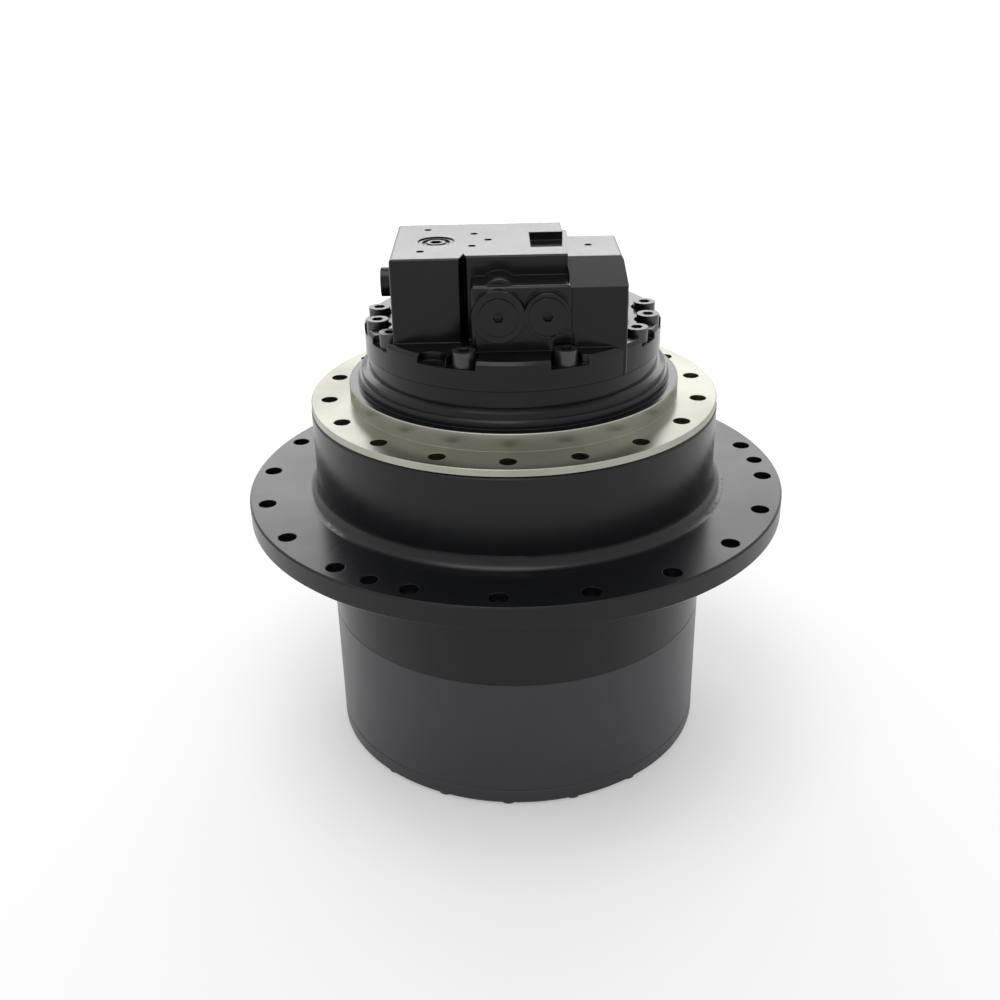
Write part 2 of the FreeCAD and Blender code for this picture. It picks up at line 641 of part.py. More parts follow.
def make_cover():
    """Gear cover: a flat plate with a register, counterbored for its screws."""
    cover = turned(
        "gear_cover",
        ("0", "0"), ("cover_foot_rad", "0"),
        ("cover_rad", "cover_rad - cover_foot_rad"), ("cover_rad", "cover_rim - joint_edge"),
        ("cover_rad - joint_edge", "cover_rim"),
        ("spigot_rad", "cover_rim"), ("spigot_rad", "cover_rim + spigot_rise - loose_fit"),
        ("cavity_rad", "cover_rim + spigot_rise - loose_fit"), ("cavity_rad", "cover_plate"),
        ("pad_rad + 4", "cover_plate"), ("pad_rad + 4", "cover_rim"), ("0", "cover_rim"))
    drill(cover, "cover_holes", "cover_screw_rad + loose_fit", "cover_circle", "0",
          "cover_rim", "sprocket_turn", "cover_screw_count", upward=True)
    drill(cover, "cover_head_seats", "cover_head_rad + 3 * loose_fit", "cover_circle", "0",
          "cover_head_tall + loose_fit", "sprocket_turn", "cover_screw_count", upward=True)
    drill(cover, "cover_plug_holes", "plug_rad", "plug_circle", "0", "cover_plate",
          "plug_turn", "plug_count", upward=True)
    return keep(cover)


def cap_screw(shank, head, head_low, head_top, tip, place):
    """A socket-head cap screw; its head lies between head_low and head_top."""
    shape = post(head, min(head_low, head_top), max(head_low, head_top), place)
    shape = shape.fuse(post(shank, min(tip, head_low), max(tip, head_low), place))
    depth = 0.55 * (head_top - head_low)
    socket = sorted((head_top, head_top - depth))
    return shape.cut(hexagon(0.95 * head, socket[0], socket[1], place))


def make_cover_screws():
    """Long screws through cover and ring gear into the hub."""
    count = int(value("cover_screw_count"))
    seat = value("cover_head_tall + loose_fit")
    screws = []
    for k in range(count):
        place = on_circle(value("cover_circle"), value("sprocket_turn") + FULL_TURN * k / count)
        screws.append(cap_screw(value("cover_screw_rad"), value("cover_head_rad"), seat,
                                value("loose_fit"), value("ring_top + cover_screw_grip"), place))
    return keep(shaped("cover_screws", Part.makeCompound(screws)))


def make_oil_plugs():
    """Fill, level and drain plugs, flush in the cover's face."""
    count = int(value("plug_count"))
    top = value("cover_plate - loose_fit")
    plugs = []
    for k in range(count):
        place = on_circle(value("plug_circle"), value("plug_turn") + FULL_TURN * k / count)
        plug = post(value("plug_rad"), value("loose_fit"), top, place)
        plugs.append(plug.cut(hexagon(value("plug_rad"), value("loose_fit"), top / 2, place)))
    return keep(shaped("oil_plugs", Part.makeCompound(plugs)))


def make_thrust_pad():
    """Pad on the cover that takes the drive shaft's end thrust."""
    return keep(turned("thrust_pad", ("0", "pad_low"), ("pad_rad", "pad_low"),
                       ("pad_rad", "pad_top - 1"), ("pad_rad - 1", "pad_top"), ("0", "pad_top")))


# ---------------------------------------------------------------- main bearings
def make_main_bearings():
    """Two ball bearings between hub and spindle: inner races, outer races, balls and cages."""
    inner = []
    outer = []
    balls = []
    cages = []
    ball = value("ball_rad")
    count = int(value("ball_count"))
    for row in ("lower", "upper"):
        low = row + "_race"
        top = row + "_race_top"
        middle = "%s + race_wide / 2" % low
        ring = turned("inner_race_" + row, ("race_bore", low), ("pitch_rad - race_gap", low),
                      ("pitch_rad - race_gap", top), ("race_bore", top))
        ring_groove(ring, "inner_track_" + row, "ball_rad + film", "pitch_rad", middle)
        inner.append(ring)
        ring = turned("outer_race_" + row, ("pitch_rad + race_gap", low), ("race_rad", low),
                      ("race_rad", top), ("pitch_rad + race_gap", top))
        ring_groove(ring, "outer_track_" + row, "ball_rad + film", "pitch_rad", middle)
        outer.append(ring)
        level = value(middle)
        half = value("ball_rad") + 2
        thin = value("race_gap") / 2
        cage = post(value("pitch_rad") + thin, level - half, level + half)
        cage = cage.cut(post(value("pitch_rad") - thin, level - half, level + half))
        for k in range(count):
            place = on_circle(value("pitch_rad"), FULL_TURN * k / count, level)
            outward = on_circle(1.0, FULL_TURN * k / count)
            balls.append(Part.makeSphere(ball, place))
            start = place - outward * ball
            cage = cage.cut(Part.makeCylinder(ball + 0.3, 2 * ball, start, outward))
        cages.append(cage)
    keep(set_of("main_bearing_inner_races", *inner))
    keep(set_of("main_bearing_outer_races", *outer))
    keep(shaped("main_bearing_balls", Part.makeCompound(balls)))
    keep(shaped("main_bearing_cages", Part.makeCompound(cages)))


def make_bearing_nut():
    """Slotted nut that clamps both inner races against the spindle's shoulder."""
    nut = turned("bearing_nut", ("nut_bore", "nut_low"), ("nut_rad", "nut_low"),
                 ("nut_rad", "lower_race - 3"), ("race_bore + 10", "lower_race"),
                 ("nut_bore", "lower_race"))
    notch(nut, "nut_slots", "nut_rad - 6", "nut_rad + 4", "12", "nut_low + 8", "8", "45", "4")
    return keep(nut)


# ---------------------------------------------------------------- floating seal
def make_floating_seal():
    """Two lapped metal rings, pressed together by two rubber rings in their seats."""
    toric_place = "seal_half - toric_rad - film"
    for name, way in (("seal_ring_fixed", "+"), ("seal_ring_moving", "-")):
        face = "seal_face" if way == "+" else "seal_face - film"
        end = "seal_face %s (seal_half - 1)" % way
        step = "seal_face %s 2" % way
        keep(turned(name, ("seal_ring_bore", face), ("seal_face_rad", face),
                    ("seal_face_rad", step), ("seal_ring_rad", step),
                    ("seal_ring_rad", end), ("seal_ring_bore", end)))
    for name, way in (("toric_ring_fixed", 1), ("toric_ring_moving", -1)):
        level = value("seal_face") + way * value(toric_place)
        middle = value("seal_seat_rad + seal_ring_rad") / 2
        ring = Part.makeTorus(middle, value("toric_rad"), Vector(0, 0, level), UP)
        keep(shaped(name, ring))


# ---------------------------------------------------------------- spindle, which is fixed
def make_spindle():
    """Spindle: frame flange, bearing seats, motor case and the second carrier's spline."""
    spindle = turned(
        "spindle_body",
        ("shaft_rad + 1.5", "spindle_end"), ("spline_tip", "spindle_end"),
        ("spline_tip", "nut_low"), ("nut_bore", "nut_low"), ("nut_bore", "lower_race"),
        ("race_bore", "lower_race"), ("race_bore", "upper_race_top"),
        ("core_rad", "upper_race_top"), ("core_rad", "seal_ceiling"),
        ("seal_seat_rad", "seal_ceiling"), ("seal_seat_rad", "skirt_low"),
        ("skirt_rad", "skirt_low"), ("skirt_rad", "lip_low"), ("lip_rad", "lip_low"),
        ("lip_rad", "frame_face - 0.8"), ("lip_rad - 0.8", "frame_face"),
        ("collar_rad", "frame_face"), ("collar_rad", "collar_top - 0.8"),
        ("collar_rad - 0.8", "collar_top"), ("step_rad", "collar_top"),
        ("step_rad", "step_top - 2"), ("step_rad - 2", "step_top"),
        ("shoulder_rad", "step_top"), ("shoulder_rad", "neck_low - 3"),
        ("neck_rad + 2", "neck_low"), ("neck_rad", "neck_low"), ("neck_rad", "case_top"),
        ("brake_large_rad", "case_top"), ("brake_large_rad", "brake_step_top"),
        ("brake_small_rad", "brake_step_top"), ("brake_small_rad", "plate_top"),
        ("plate_rad", "plate_top"), ("plate_rad", "brake_seat"),
        ("case_bore", "brake_seat"), ("case_bore", "case_floor"),
        ("shaft_race_rad", "case_floor"), ("shaft_race_rad", "shaft_race_floor"),
        ("seal_rad", "shaft_race_floor"), ("seal_rad", "shaft_race_floor - seal_tall - 2"),
        ("shaft_rad + 1.5", "shaft_race_floor - seal_tall - 2"))
    drill(spindle, "frame_bolt_holes", "frame_hole_rad", "frame_circle", "frame_face",
          "frame_hole_depth", "frame_turn", "frame_holes")
    notch(spindle, "brake_grooves", "plate_rad - 4", "plate_lug_rad", "plate_lug_wide",
          "plate_top", "plate_stack", "0", "plate_lugs")
    drill(spindle, "servo_bore", "servo_rad", "servo_off", "case_floor", "servo_depth", "-90")
    for number, turn in enumerate(CARRIER_SCREW_TURNS):
        drill(spindle, "carrier_screw_hole_%d" % number, "carrier_screw_rad", "carrier_circle",
              "spindle_end", "carrier_screw_grip + 3", turn, upward=True)
    for number, turn in enumerate(HEAD_SCREW_TURNS):
        drill(spindle, "head_screw_hole_%d" % number, "head_screw_rad", "head_screw_circle",
              "case_top", "head_screw_grip + 3", turn)
    low = value("spindle_end")
    high = value("nut_low") - 1.5
    keys = splined_solid(value("spline_root"), value("spline_tip"), int(value("spline_keys")),
                         low, high)
    sleeve = post(value("spline_tip") + 1, low, high).cut(keys)
    return keep(cut("spindle", spindle, shaped("spindle_spline_gaps", sleeve)))


# ---------------------------------------------------------------- second stage, next to the spindle
def make_carrier_two():
    """Fixed planet carrier, splined to the spindle's end and screwed to it."""
    carrier = turned(
        "carrier_two_body",
        ("carrier_two_bore", "plate_low"), ("carrier_two_rad", "plate_low"),
        ("carrier_two_rad", "spindle_end - 4"), ("carrier_sleeve_rad", "spindle_end + 6"),
        ("carrier_sleeve_rad", "spindle_end + carrier_sleeve"),
        ("spline_root", "spindle_end + carrier_sleeve"), ("spline_root", "spindle_end"),
        ("carrier_two_bore", "spindle_end"))
    drill(carrier, "pin_two_holes", "pin_two_rad", "centre_two", "spindle_end",
          "carrier_two_plate + 1", "0", "planets_two")
    for number, turn in enumerate(CARRIER_SCREW_TURNS):
        drill(carrier, "carrier_two_hole_%d" % number, "carrier_screw_rad + loose_fit",
              "carrier_circle", "spindle_end", "carrier_two_plate + 1", turn)
        drill(carrier, "carrier_two_seat_%d" % number, "carrier_head_rad + loose_fit",
              "carrier_circle", "plate_low", "carrier_head_tall + loose_fit", turn, upward=True)
    keys = splined_solid(value("spline_root"), value("spline_tip"), int(value("spline_keys")),
                         value("spindle_end"), value("spindle_end + carrier_sleeve"), SPLINE_GAP)
    return keep(cut("carrier_two", carrier, shaped("carrier_two_keyway", keys)))


def make_carrier_screws():
    """Screws that hold the second carrier on the spindle's end."""
    seat = value("plate_low + carrier_head_tall + loose_fit")
    screws = []
    for turn in CARRIER_SCREW_TURNS:
        place = on_circle(value("carrier_circle"), float(turn))
        screws.append(cap_screw(value("carrier_screw_rad"), value("carrier_head_rad"), seat,
                                value("plate_low + loose_fit"),
                                value("spindle_end + carrier_screw_grip"), place))
    return keep(shaped("carrier_two_screws", Part.makeCompound(screws)))


def make_pins(name, radius, circle, count, head_low, planet_low, top):
    """Planet pins with a head that holds the planet, pressed into a carrier."""
    pins = []
    for k in range(count):
        place = on_circle(circle, FULL_TURN * k / count)
        pin = post(radius, head_low, top, place)
        pins.append(pin.fuse(post(radius + 6, head_low, planet_low - 0.4, place)))
    return keep(shaped(name, Part.makeCompound(pins)))


def make_planets(stage, count, teeth, pin, circle, low, high):
    """Planet gears of one stage, each with its pressed bush, in mesh with ring and sun."""
    ring_teeth = int(value("ring_teeth"))
    bush_rad = pin + value("bush_wall")
    for k in range(count):
        around_axis = FULL_TURN * k / count
        # A tooth of the ring and a tooth of the sun both stand at angle 0.
        phase = around_axis - (around_axis * ring_teeth - FULL_TURN / 2) / teeth
        gear = gear_solid(teeth, low, high, phase).cut(post(bush_rad, low, high))
        bush = post(bush_rad, low, high).cut(post(pin + value("running_fit"), low, high))
        pair = Part.makeCompound([gear, bush])
        place = Placement(on_circle(circle, around_axis), Rotation())
        keep(shaped("planet_%s_%d" % (stage, k + 1), pair, place))


def make_planet_stages():
    ring_teeth = int(value("ring_teeth"))
    planet_one_teeth = (ring_teeth - int(value("sun_one_teeth"))) // 2
    planet_two_teeth = (ring_teeth - int(value("sun_two_teeth"))) // 2
    make_planets("one", int(value("planets_one")), planet_one_teeth, value("pin_one_rad"),
                 value("centre_one"), value("planet_one_low"), value("planet_one_top"))
    make_planets("two", int(value("planets_two")), planet_two_teeth, value("pin_two_rad"),
                 value("centre_two"), value("planet_two_low"), value("planet_two_top"))
    make_pins("planet_pins_one", value("pin_one_rad"), value("centre_one"),
              int(value("planets_one")), value("planet_one_low - 5"), value("planet_one_low"),
              value("carrier_one_top"))
    make_pins("planet_pins_two", value("pin_two_rad"), value("centre_two"),
              int(value("planets_two")), value("planet_two_low - 5"), value("planet_two_low"),
              value("spindle_end"))


def make_suns():
    """Second sun gear, seated in the first carrier, and the drive shaft with the first sun."""
    sun_two = gear_solid(int(value("sun_two_teeth")), value("carrier_one_low"),
                         value("planet_two_top + 2 * lip_gap"))
    bore = post(value("sun_bore"), value("carrier_one_low"), value("planet_two_top + 9"))
    keep(shaped("sun_gear_two", sun_two.cut(bore)))

    sun_low = value("planet_one_low - 2 * lip_gap")
    sun_top = value("planet_one_top + 2 * lip_gap")
    shaft_top = value("socket_low")
    drive = gear_solid(int(value("sun_one_teeth")), sun_low, sun_top)
    drive = drive.fuse(post(value("drive_rad"), sun_top, shaft_top))
    keys = splined_solid(value("socket_root"), value("socket_tip"), SOCKET_KEYS, shaft_top,
                         value("socket_top - 2 * lip_gap"))
    keep(shaped("drive_shaft", drive.fuse(keys)))


def make_carrier_one():
    """First planet carrier: a plate with pin bosses and the second sun's keyed bore."""
    carrier = turned("carrier_one_body", ("0", "carrier_one_low"),
                     ("carrier_one_rad", "carrier_one_low"),
                     ("carrier_one_rad", "carrier_one_top"), ("0", "carrier_one_top"))
    low = value("carrier_one_low")
    high = value("carrier_one_top")
    bosses = []
    for k in range(int(value("planets_one"))):
        place = on_circle(value("centre_one"), FULL_TURN * k / value("planets_one"))
        bosses.append(post(value("pin_one_rad + bush_wall"), low - 3, low, place))
    bosses = shaped("carrier_one_bosses", Part.makeCompound(bosses))
    whole = fused("carrier_one_whole", carrier, bosses)
    teeth = int(value("sun_two_teeth"))
    pitch = value("tooth_size") * teeth / 2
    room = toothed_face(teeth, pitch - 1.25 * value("tooth_size") + 0.2,
                        pitch + value("tooth_size") + SPLINE_GAP,
                        value("tooth_play") - 4 * SPLINE_GAP)
    room.translate(Vector(0, 0, low - 1))
    tools = [room.extrude(Vector(0, 0, high - low + 2))]
    for k in range(int(value("planets_one"))):
        place = on_circle(value("centre_one"), FULL_TURN * k / value("planets_one"))
        tools.append(post(value("pin_one_rad"), low - 4, high, place))
        hollow = on_circle(value("centre_one") * 0.8, FULL_TURN * (k + 0.5) / value("planets_one"))
        tools.append(post(value("pin_one_rad"), low, high, hollow))
    holes = shaped("carrier_one_holes", Part.makeCompound(tools))
    return keep(cut("carrier_one", whole, holes))


# ---------------------------------------------------------------- motor shaft and its bearings
SOCKET_KEYS = 12
BLOCK_KEYS = 16
BRAKE_KEYS = 24


def make_motor_shaft():
    """Motor shaft, with a socket for the drive shaft and keys for the cylinder block."""
    shaft = turned(
        "motor_shaft_body",
        ("0", "shaft_low"), ("shaft_rad", "shaft_low"), ("shaft_rad", "shaft_race_top"),
        ("shaft_rad + 3", "shaft_race_top"), ("shaft_rad + 3", "shaft_race_top + 4"),
        ("mid_shaft_rad", "shaft_race_top + 5"), ("mid_shaft_rad", "block_low + 18"),
        ("rear_shaft_rad", "block_low + 18"), ("rear_shaft_rad", "rear_race_top"),
        ("0", "rear_race_top"))
    socket = splined_solid(value("socket_root"), value("socket_tip"), SOCKET_KEYS,
                           value("socket_low - 5"), value("socket_top"), SPLINE_GAP)
    mouth = post(value("drive_rad + loose_fit"), value("shaft_low"), value("socket_low + 1"))
    hollow = shaped("motor_shaft_socket", socket.fuse(mouth))
    bored = cut("motor_shaft_bored", shaft, hollow)
    keys = shaped("motor_shaft_keys", block_keys(0.0))
    return keep(fused("motor_shaft", bored, keys))


def block_keys(gap):
    low = value("block_low + 18")
    return splined_solid(value("mid_shaft_rad"), value("mid_shaft_rad + 2"), BLOCK_KEYS,
                         low, low + 32, gap)


def make_shaft_bearings():
    """Roller bearing and lip seal at the case's floor, needle bearing in the motor head."""
    low = "shaft_race_floor"
    top = "shaft_race_top"
    keep(turned("shaft_bearing_outer_race", ("shaft_race_rad - 7", low),
                ("shaft_race_rad", low), ("shaft_race_rad", top), ("shaft_race_rad - 7", top)))
    roller_rad = value("(shaft_race_rad - shaft_rad) / 2 - 7")
    middle = value("(shaft_race_rad + shaft_rad) / 2")
    floor = value(low)
    ceiling = value(top)
    inner = post(middle - roller_rad, floor, ceiling).cut(post(value("shaft_rad"), floor, ceiling))
    pieces = [inner]
    rollers = 12
    for k in range(rollers):
        place = on_circle(middle, FULL_TURN * k / rollers)
        pieces.append(post(roller_rad - value("film"), floor + 2, ceiling - 2, place))
    keep(shaped("shaft_bearing_inner_set", Part.makeCompound(pieces)))
    keep(turned("shaft_seal", ("shaft_rad + film", "shaft_race_floor - seal_tall"),
                ("seal_rad", "shaft_race_floor - seal_tall"), ("seal_rad", "shaft_race_floor - 2"),
                ("seal_rad - 3", "shaft_race_floor - 2"), ("seal_rad - 3", "shaft_race_floor - 10"),
                ("shaft_rad + 4", "shaft_race_floor - 10"),
                ("shaft_rad + film", "shaft_race_floor - 8")))
    keep(turned("rear_shaft_bearing", ("rear_shaft_rad + running_fit", "case_top + 2"),
                ("rear_race_rad", "case_top + 2"), ("rear_race_rad", "rear_race_top"),
                ("rear_shaft_rad + running_fit", "rear_race_top")))


# ---------------------------------------------------------------- motor
def tilted(shape, degrees=None):
    """Turn a shape, made about the tilt centre, to the swash angle and to its level."""
    angle = value("swash_deg") if degrees is None else degrees
    turned_shape = shape.copy()
    turned_shape.rotate(Vector(), Vector(1, 0, 0), angle)
    turned_shape.translate(Vector(0, 0, value("swash_centre")))
    return turned_shape


def lying(radius, low_x, high_x):
    """A round bar along X about the tilt axis."""
    return Part.makeCylinder(radius, high_x - low_x, Vector(low_x, 0, 0), Vector(1, 0, 0))


def make_swash_plate():
    """Swash plate with two rockers, a slot for the shaft and a lug for the servo piston."""
    face = -value("swash_face")
    under = face - value("swash_thick")
    rocker = value("rocker_rad")
    inner = value("shaft_rad - 1")
    outer = inner + 25
    plate = Part.makeCylinder(value("swash_rad"), value("swash_thick"), Vector(0, 0, under))
    lug = Part.makeBox(26, value("servo_off") + 10, value("swash_thick"),
                       Vector(-13, -value("servo_off") - 10, under))
    plate = plate.fuse(lug)
    for low_x in (inner, -outer):
        rib = lying(rocker, low_x, low_x + outer - inner)
        room = Part.makeBox(outer, 3 * rocker, 3 * rocker, Vector(low_x - 2, -1.5 * rocker, under))
        room.translate(Vector(0, 0, 2))
        plate = plate.fuse(rib.cut(room))
    for shift in (0.0, -6.0):
        plate = plate.cut(Part.makeCylinder(inner, 3 * rocker, Vector(0, shift, -2 * rocker)))
    return keep(shaped("swash_plate", tilted(plate.removeSplitter())))


def make_swash_cradles():
    """Two saddles on the case floor in which the swash plate rocks."""
    floor = value("case_floor - swash_centre")
    inner = value("shaft_rad - 1")
    outer = inner + 25
    hollow = lying(value("rocker_rad + film"), -outer - 5, outer + 5)
    saddles = []
    for low_x in (inner + 1, -outer + 1):
        saddle = Part.makeBox(outer - inner - 2, 84, 18, Vector(low_x, -42, floor))
        saddle = saddle.cut(hollow)
        saddle.translate(Vector(0, 0, value("swash_centre")))
        saddles.append(saddle)
    return keep(shaped("swash_cradles", Part.makeCompound(saddles)))


def make_servo_piston():
    """Small piston under the swash plate's lug, which tilts it back for high speed."""
    tilt = math.radians(value("swash_deg"))
    depth = value("swash_face + swash_thick")
    off = value("servo_off")
    top = value("swash_centre") - depth / math.cos(tilt) - off * math.tan(tilt)
    top -= value("servo_rad") * math.tan(tilt) * 0.4 + 0.3
    low = value("case_floor - servo_depth + 3")
    place = Vector(0, -off, 0)
    piston = post(value("servo_rad - running_fit"), low, top - 5, place)
    nose = Part.makeCone(value("servo_rad - running_fit"), 4, 5, Vector(0, -off, top - 5))
    return keep(shaped("servo_piston", piston.fuse(nose)))


def piston_places():
    """Each piston's place on its circle, and the level of its ball centre at rest."""
    slope = math.tan(math.radians(value("swash_deg")))
    places = []
    for k in range(int(value("piston_count"))):
        place = on_circle(value("piston_circle"), 90 + FULL_TURN * k / value("piston_count"))
        places.append(Vector(place.x, place.y, value("swash_centre") + place.y * slope))
    return places


BALL_END_RAD = 8.0
SLIPPER_RAD = 10.4


def make_pistons():
    """Pistons, each with a ball end that sits in its slipper."""
    pistons = []
    for place in piston_places():
        rod_rad = value("piston_rad")
        piston = post(rod_rad, place.z + 9, place.z + value("piston_len"), place)
        piston = piston.fuse(post(0.6 * rod_rad, place.z, place.z + 9, place))
        pistons.append(piston.fuse(Part.makeSphere(BALL_END_RAD, place)))
    return keep(shaped("pistons", Part.makeCompound(pistons)))


def slipper_places():
    """Ball centres in the swash plate's own plane, about the tilt centre."""
    lean = math.cos(math.radians(value("swash_deg")))
    return [Vector(place.x, place.y / lean, 0) for place in piston_places()]


def make_slippers():
    """Slippers: a flat pad on the swash plate and a socket round each ball."""
    face = -value("swash_face") + value("film")
    pads = []
    for place in slipper_places():
        slipper = post(SLIPPER_RAD + 2, face, face + 4.5, place)
        slipper = slipper.fuse(post(SLIPPER_RAD, face, 4, place))
        room = Part.makeSphere(BALL_END_RAD + value("film"), Vector(place.x, place.y, 0))
        pads.append(slipper.cut(room))
    return keep(shaped("slippers", tilted(Part.makeCompound(pads))))


def make_retainer():
    """Retainer plate that holds the slippers down, borne on the ball guide."""
    low = -value("swash_face") + value("film") + 4.6
    plate = post(value("swash_rad") - 1, low, low + 4)
    plate = plate.cut(Part.makeSphere(GUIDE_RAD + value("film")))
    for place in slipper_places():
        plate = plate.cut(post(SLIPPER_RAD + value("film"), low, low + 4, place))
    return keep(shaped("retainer_plate", tilted(plate)))


GUIDE_RAD = 26.0


def make_ball_guide():
    """Ball guide on the shaft, round which the retainer plate rocks."""
    centre = value("swash_centre")
    guide = Part.makeSphere(GUIDE_RAD, Vector(0, 0, centre))
    guide = guide.common(post(GUIDE_RAD, centre - 1, centre + 18))
    return keep(shaped("ball_guide", guide.cut(post(value("mid_shaft_rad"), centre - 30,
                                                    centre + 30))))


def make_cylinder_block():
    """Cylinder block with its bores, shaft keys and the keys that drive the brake plates."""
    low = value("block_low")
    top = value("block_top")
    key_low = value("brake_seat") - 2
    key_top = value("plate_top") - 3
    bore_top = top - 16
    block_shape = post(value("block_rad"), low, top)
    block_shape = block_shape.fuse(splined_solid(
        value("block_rad"), value("block_key_rad"), BRAKE_KEYS, key_low, key_top))
    for place in piston_places():
        block_shape = block_shape.cut(post(value("piston_rad + running_fit"), low, bore_top, place))
        block_shape = block_shape.cut(post(5.5, bore_top, top, place))
    shelf = value("block_low + 18") + 32
    block_shape = block_shape.cut(post(value("mid_shaft_rad + loose_fit"), low, shelf))
    block_shape = block_shape.cut(block_keys(SPLINE_GAP))
    block_shape = block_shape.cut(post(24, shelf, top - 10))
    block_shape = block_shape.cut(post(value("rear_shaft_rad") + 1, top - 10, top))
    return keep(shaped("cylinder_block", block_shape.removeSplitter()))


def make_block_spring():
    """Coil spring inside the block that presses it on the valve plate."""
    low = value("block_low + 18") + 32
    high = value("block_top") - 10
    return keep(shaped("block_spring", coil(19.5, 2.0, low, high, 4)))


def make_valve_plate():
    """Valve plate with two kidney ports, on the motor head's face."""
    low = value("block_top + film")
    high = value("case_top")
    plate = post(value("block_rad") - 2, low, high)
    plate = plate.cut(post(value("rear_race_rad"), low, high))
    circle = value("piston_circle")
    for middle in (0.0, 180.0):
        outer = Part.makeCylinder(circle + 5, high - low, Vector(0, 0, low), UP, 120)
        kidney = outer.cut(post(circle - 5, low, high))
        kidney.rotate(Vector(), UP, middle - 60)
        plate = plate.cut(kidney)
    return keep(shaped("valve_plate", plate))


# ---------------------------------------------------------------- parking brake
def make_brake():
    """Friction plates on the block, separator plates in the case, piston and springs."""
    seat = value("brake_seat")
    thick_fixed = 2.5
    thick_moving = 3.0
    gap = value("film")
    lugs = int(value("plate_lugs"))
    half = value("plate_lug_wide") / 2 - 0.3
    reach = value("plate_lug_rad") - 0.2
    separators = []
    frictions = []
    level = seat
    for k in range(7):
        fixed = k % 2 == 0
        thick = thick_fixed if fixed else thick_moving
        if fixed:
            plate = post(value("plate_rad") - 0.2, level, level + thick)
            for lug in range(lugs):
                key = Part.makeBox(20, 2 * half, thick, Vector(reach - 20, -half, level))
                edge = post(reach, level, level + thick)
                key = key.common(edge)
                key.rotate(Vector(), UP, FULL_TURN * lug / lugs)
                plate = plate.fuse(key)
            bore = post(value("block_key_rad") + 1.5, level, level + thick)
            separators.append(plate.cut(bore).removeSplitter())
        else:
            plate = post(value("plate_rad") - 4, level, level + thick)
            hole = splined_solid(value("block_rad"), value("block_key_rad"), BRAKE_KEYS,
                                 level, level + thick, SPLINE_GAP)
            frictions.append(plate.cut(hole))
        level += thick + gap
    keep(shaped("brake_separator_plates", Part.makeCompound(separators)))
    keep(shaped("brake_friction_plates", Part.makeCompound(frictions)))

    bore = value("block_key_rad") + 4
    fit = value("running_fit")
    nose = value("plate_rad") - 3
    small = value("brake_small_rad") - fit
    large = value("brake_large_rad") - fit
    step = value("brake_step_top") + 2
    top = value("case_top") - 18
    pocket_low = top - 10
    piston = post(nose, level, value("plate_top") + 2)
    piston = piston.fuse(post(small, value("plate_top") + 2, step))
    piston = piston.fuse(post(large, step, top))
    piston = piston.cut(post(bore, level - 1, top + 1))
    springs = []
    count = 12
    for k in range(count):
        place = on_circle((bore + large) / 2, FULL_TURN * (k + 0.5) / count)
        piston = piston.cut(post(7, pocket_low, top, place))
        spring = coil(5, 1.3, pocket_low, value("case_top"), 5)
        spring.translate(Vector(place.x, place.y, 0))
        springs.append(spring)
    keep(shaped("brake_piston", piston))
    keep(shaped("brake_springs", Part.makeCompound(springs)))


# ---------------------------------------------------------------- motor head
def rounded(name, brick, radius):
    """The box with its upright and upper edges rounded."""
    doc.recompute()
    floor = brick.Shape.BoundBox.ZMin
    soft = doc.addObject("Part::Fillet", name)
    soft.Base = brick
    soft.Edges = [(number, radius, radius) for number, edge in enumerate(brick.Shape.Edges, 1)
                  if max(corner.Z for corner in edge.Vertexes) > floor + 1]
    return soft


def head_casting():
    """The outer form of the motor head: round flange, three blocks and the relief valve body."""
    flange = turned("head_flange", ("0", "case_top"), ("head_rad", "case_top"),
                    ("head_rad", "head_low - 3"), ("head_rad - 3", "head_low"), ("0", "head_low"))
    floor = "head_low - 2"
    left = block("head_left_block", ("head_left", "head_front", floor),
                 ("head_groove + 6", "head_back", "head_top"))
    middle = block("head_middle_block", ("head_groove - 6", "head_mid_front", floor),
                   ("head_mid_right + 6", "head_back", "head_top"))
    right = block("head_right_block", ("head_mid_right", "head_right_front", "case_top"),
                  ("head_right", "head_right_back", "right_top"))
    body = block("head_valve_body", ("valve_left", "valve_front", floor),
                 ("head_mid_right + 2", "head_mid_front + 8", "case_top + valve_tall"))
    boss = rod("head_gallery_boss", "gallery_rad", "Y", "valve_front + 5", "45",
               ("gallery_across", "relief_z + 12"))
    left_boss = rod("head_relief_boss_left", "boss_left_rad", "Y", "relief_face", "50",
                    ("relief_left", "relief_z"))
    right_boss = rod("head_relief_boss_right", "boss_right_rad", "Y", "relief_face", "50",
                     ("relief_right", "relief_z"))
    return fused("head_casting", flange, rounded("head_left_soft", left, 3.0),
                 rounded("head_middle_soft", middle, 3.0), rounded("head_right_soft", right, 3.0),
                 rounded("head_valve_soft", body, 4.0), boss, left_boss, right_boss)


def prism(corners, start, length):
    """A bar along X whose section is given as points (y, z)."""
    points = [Vector(start, y, z) for y, z in corners + corners[:1]]
    return Part.Face(Part.makePolygon(points)).extrude(Vector(length, 0, 0))


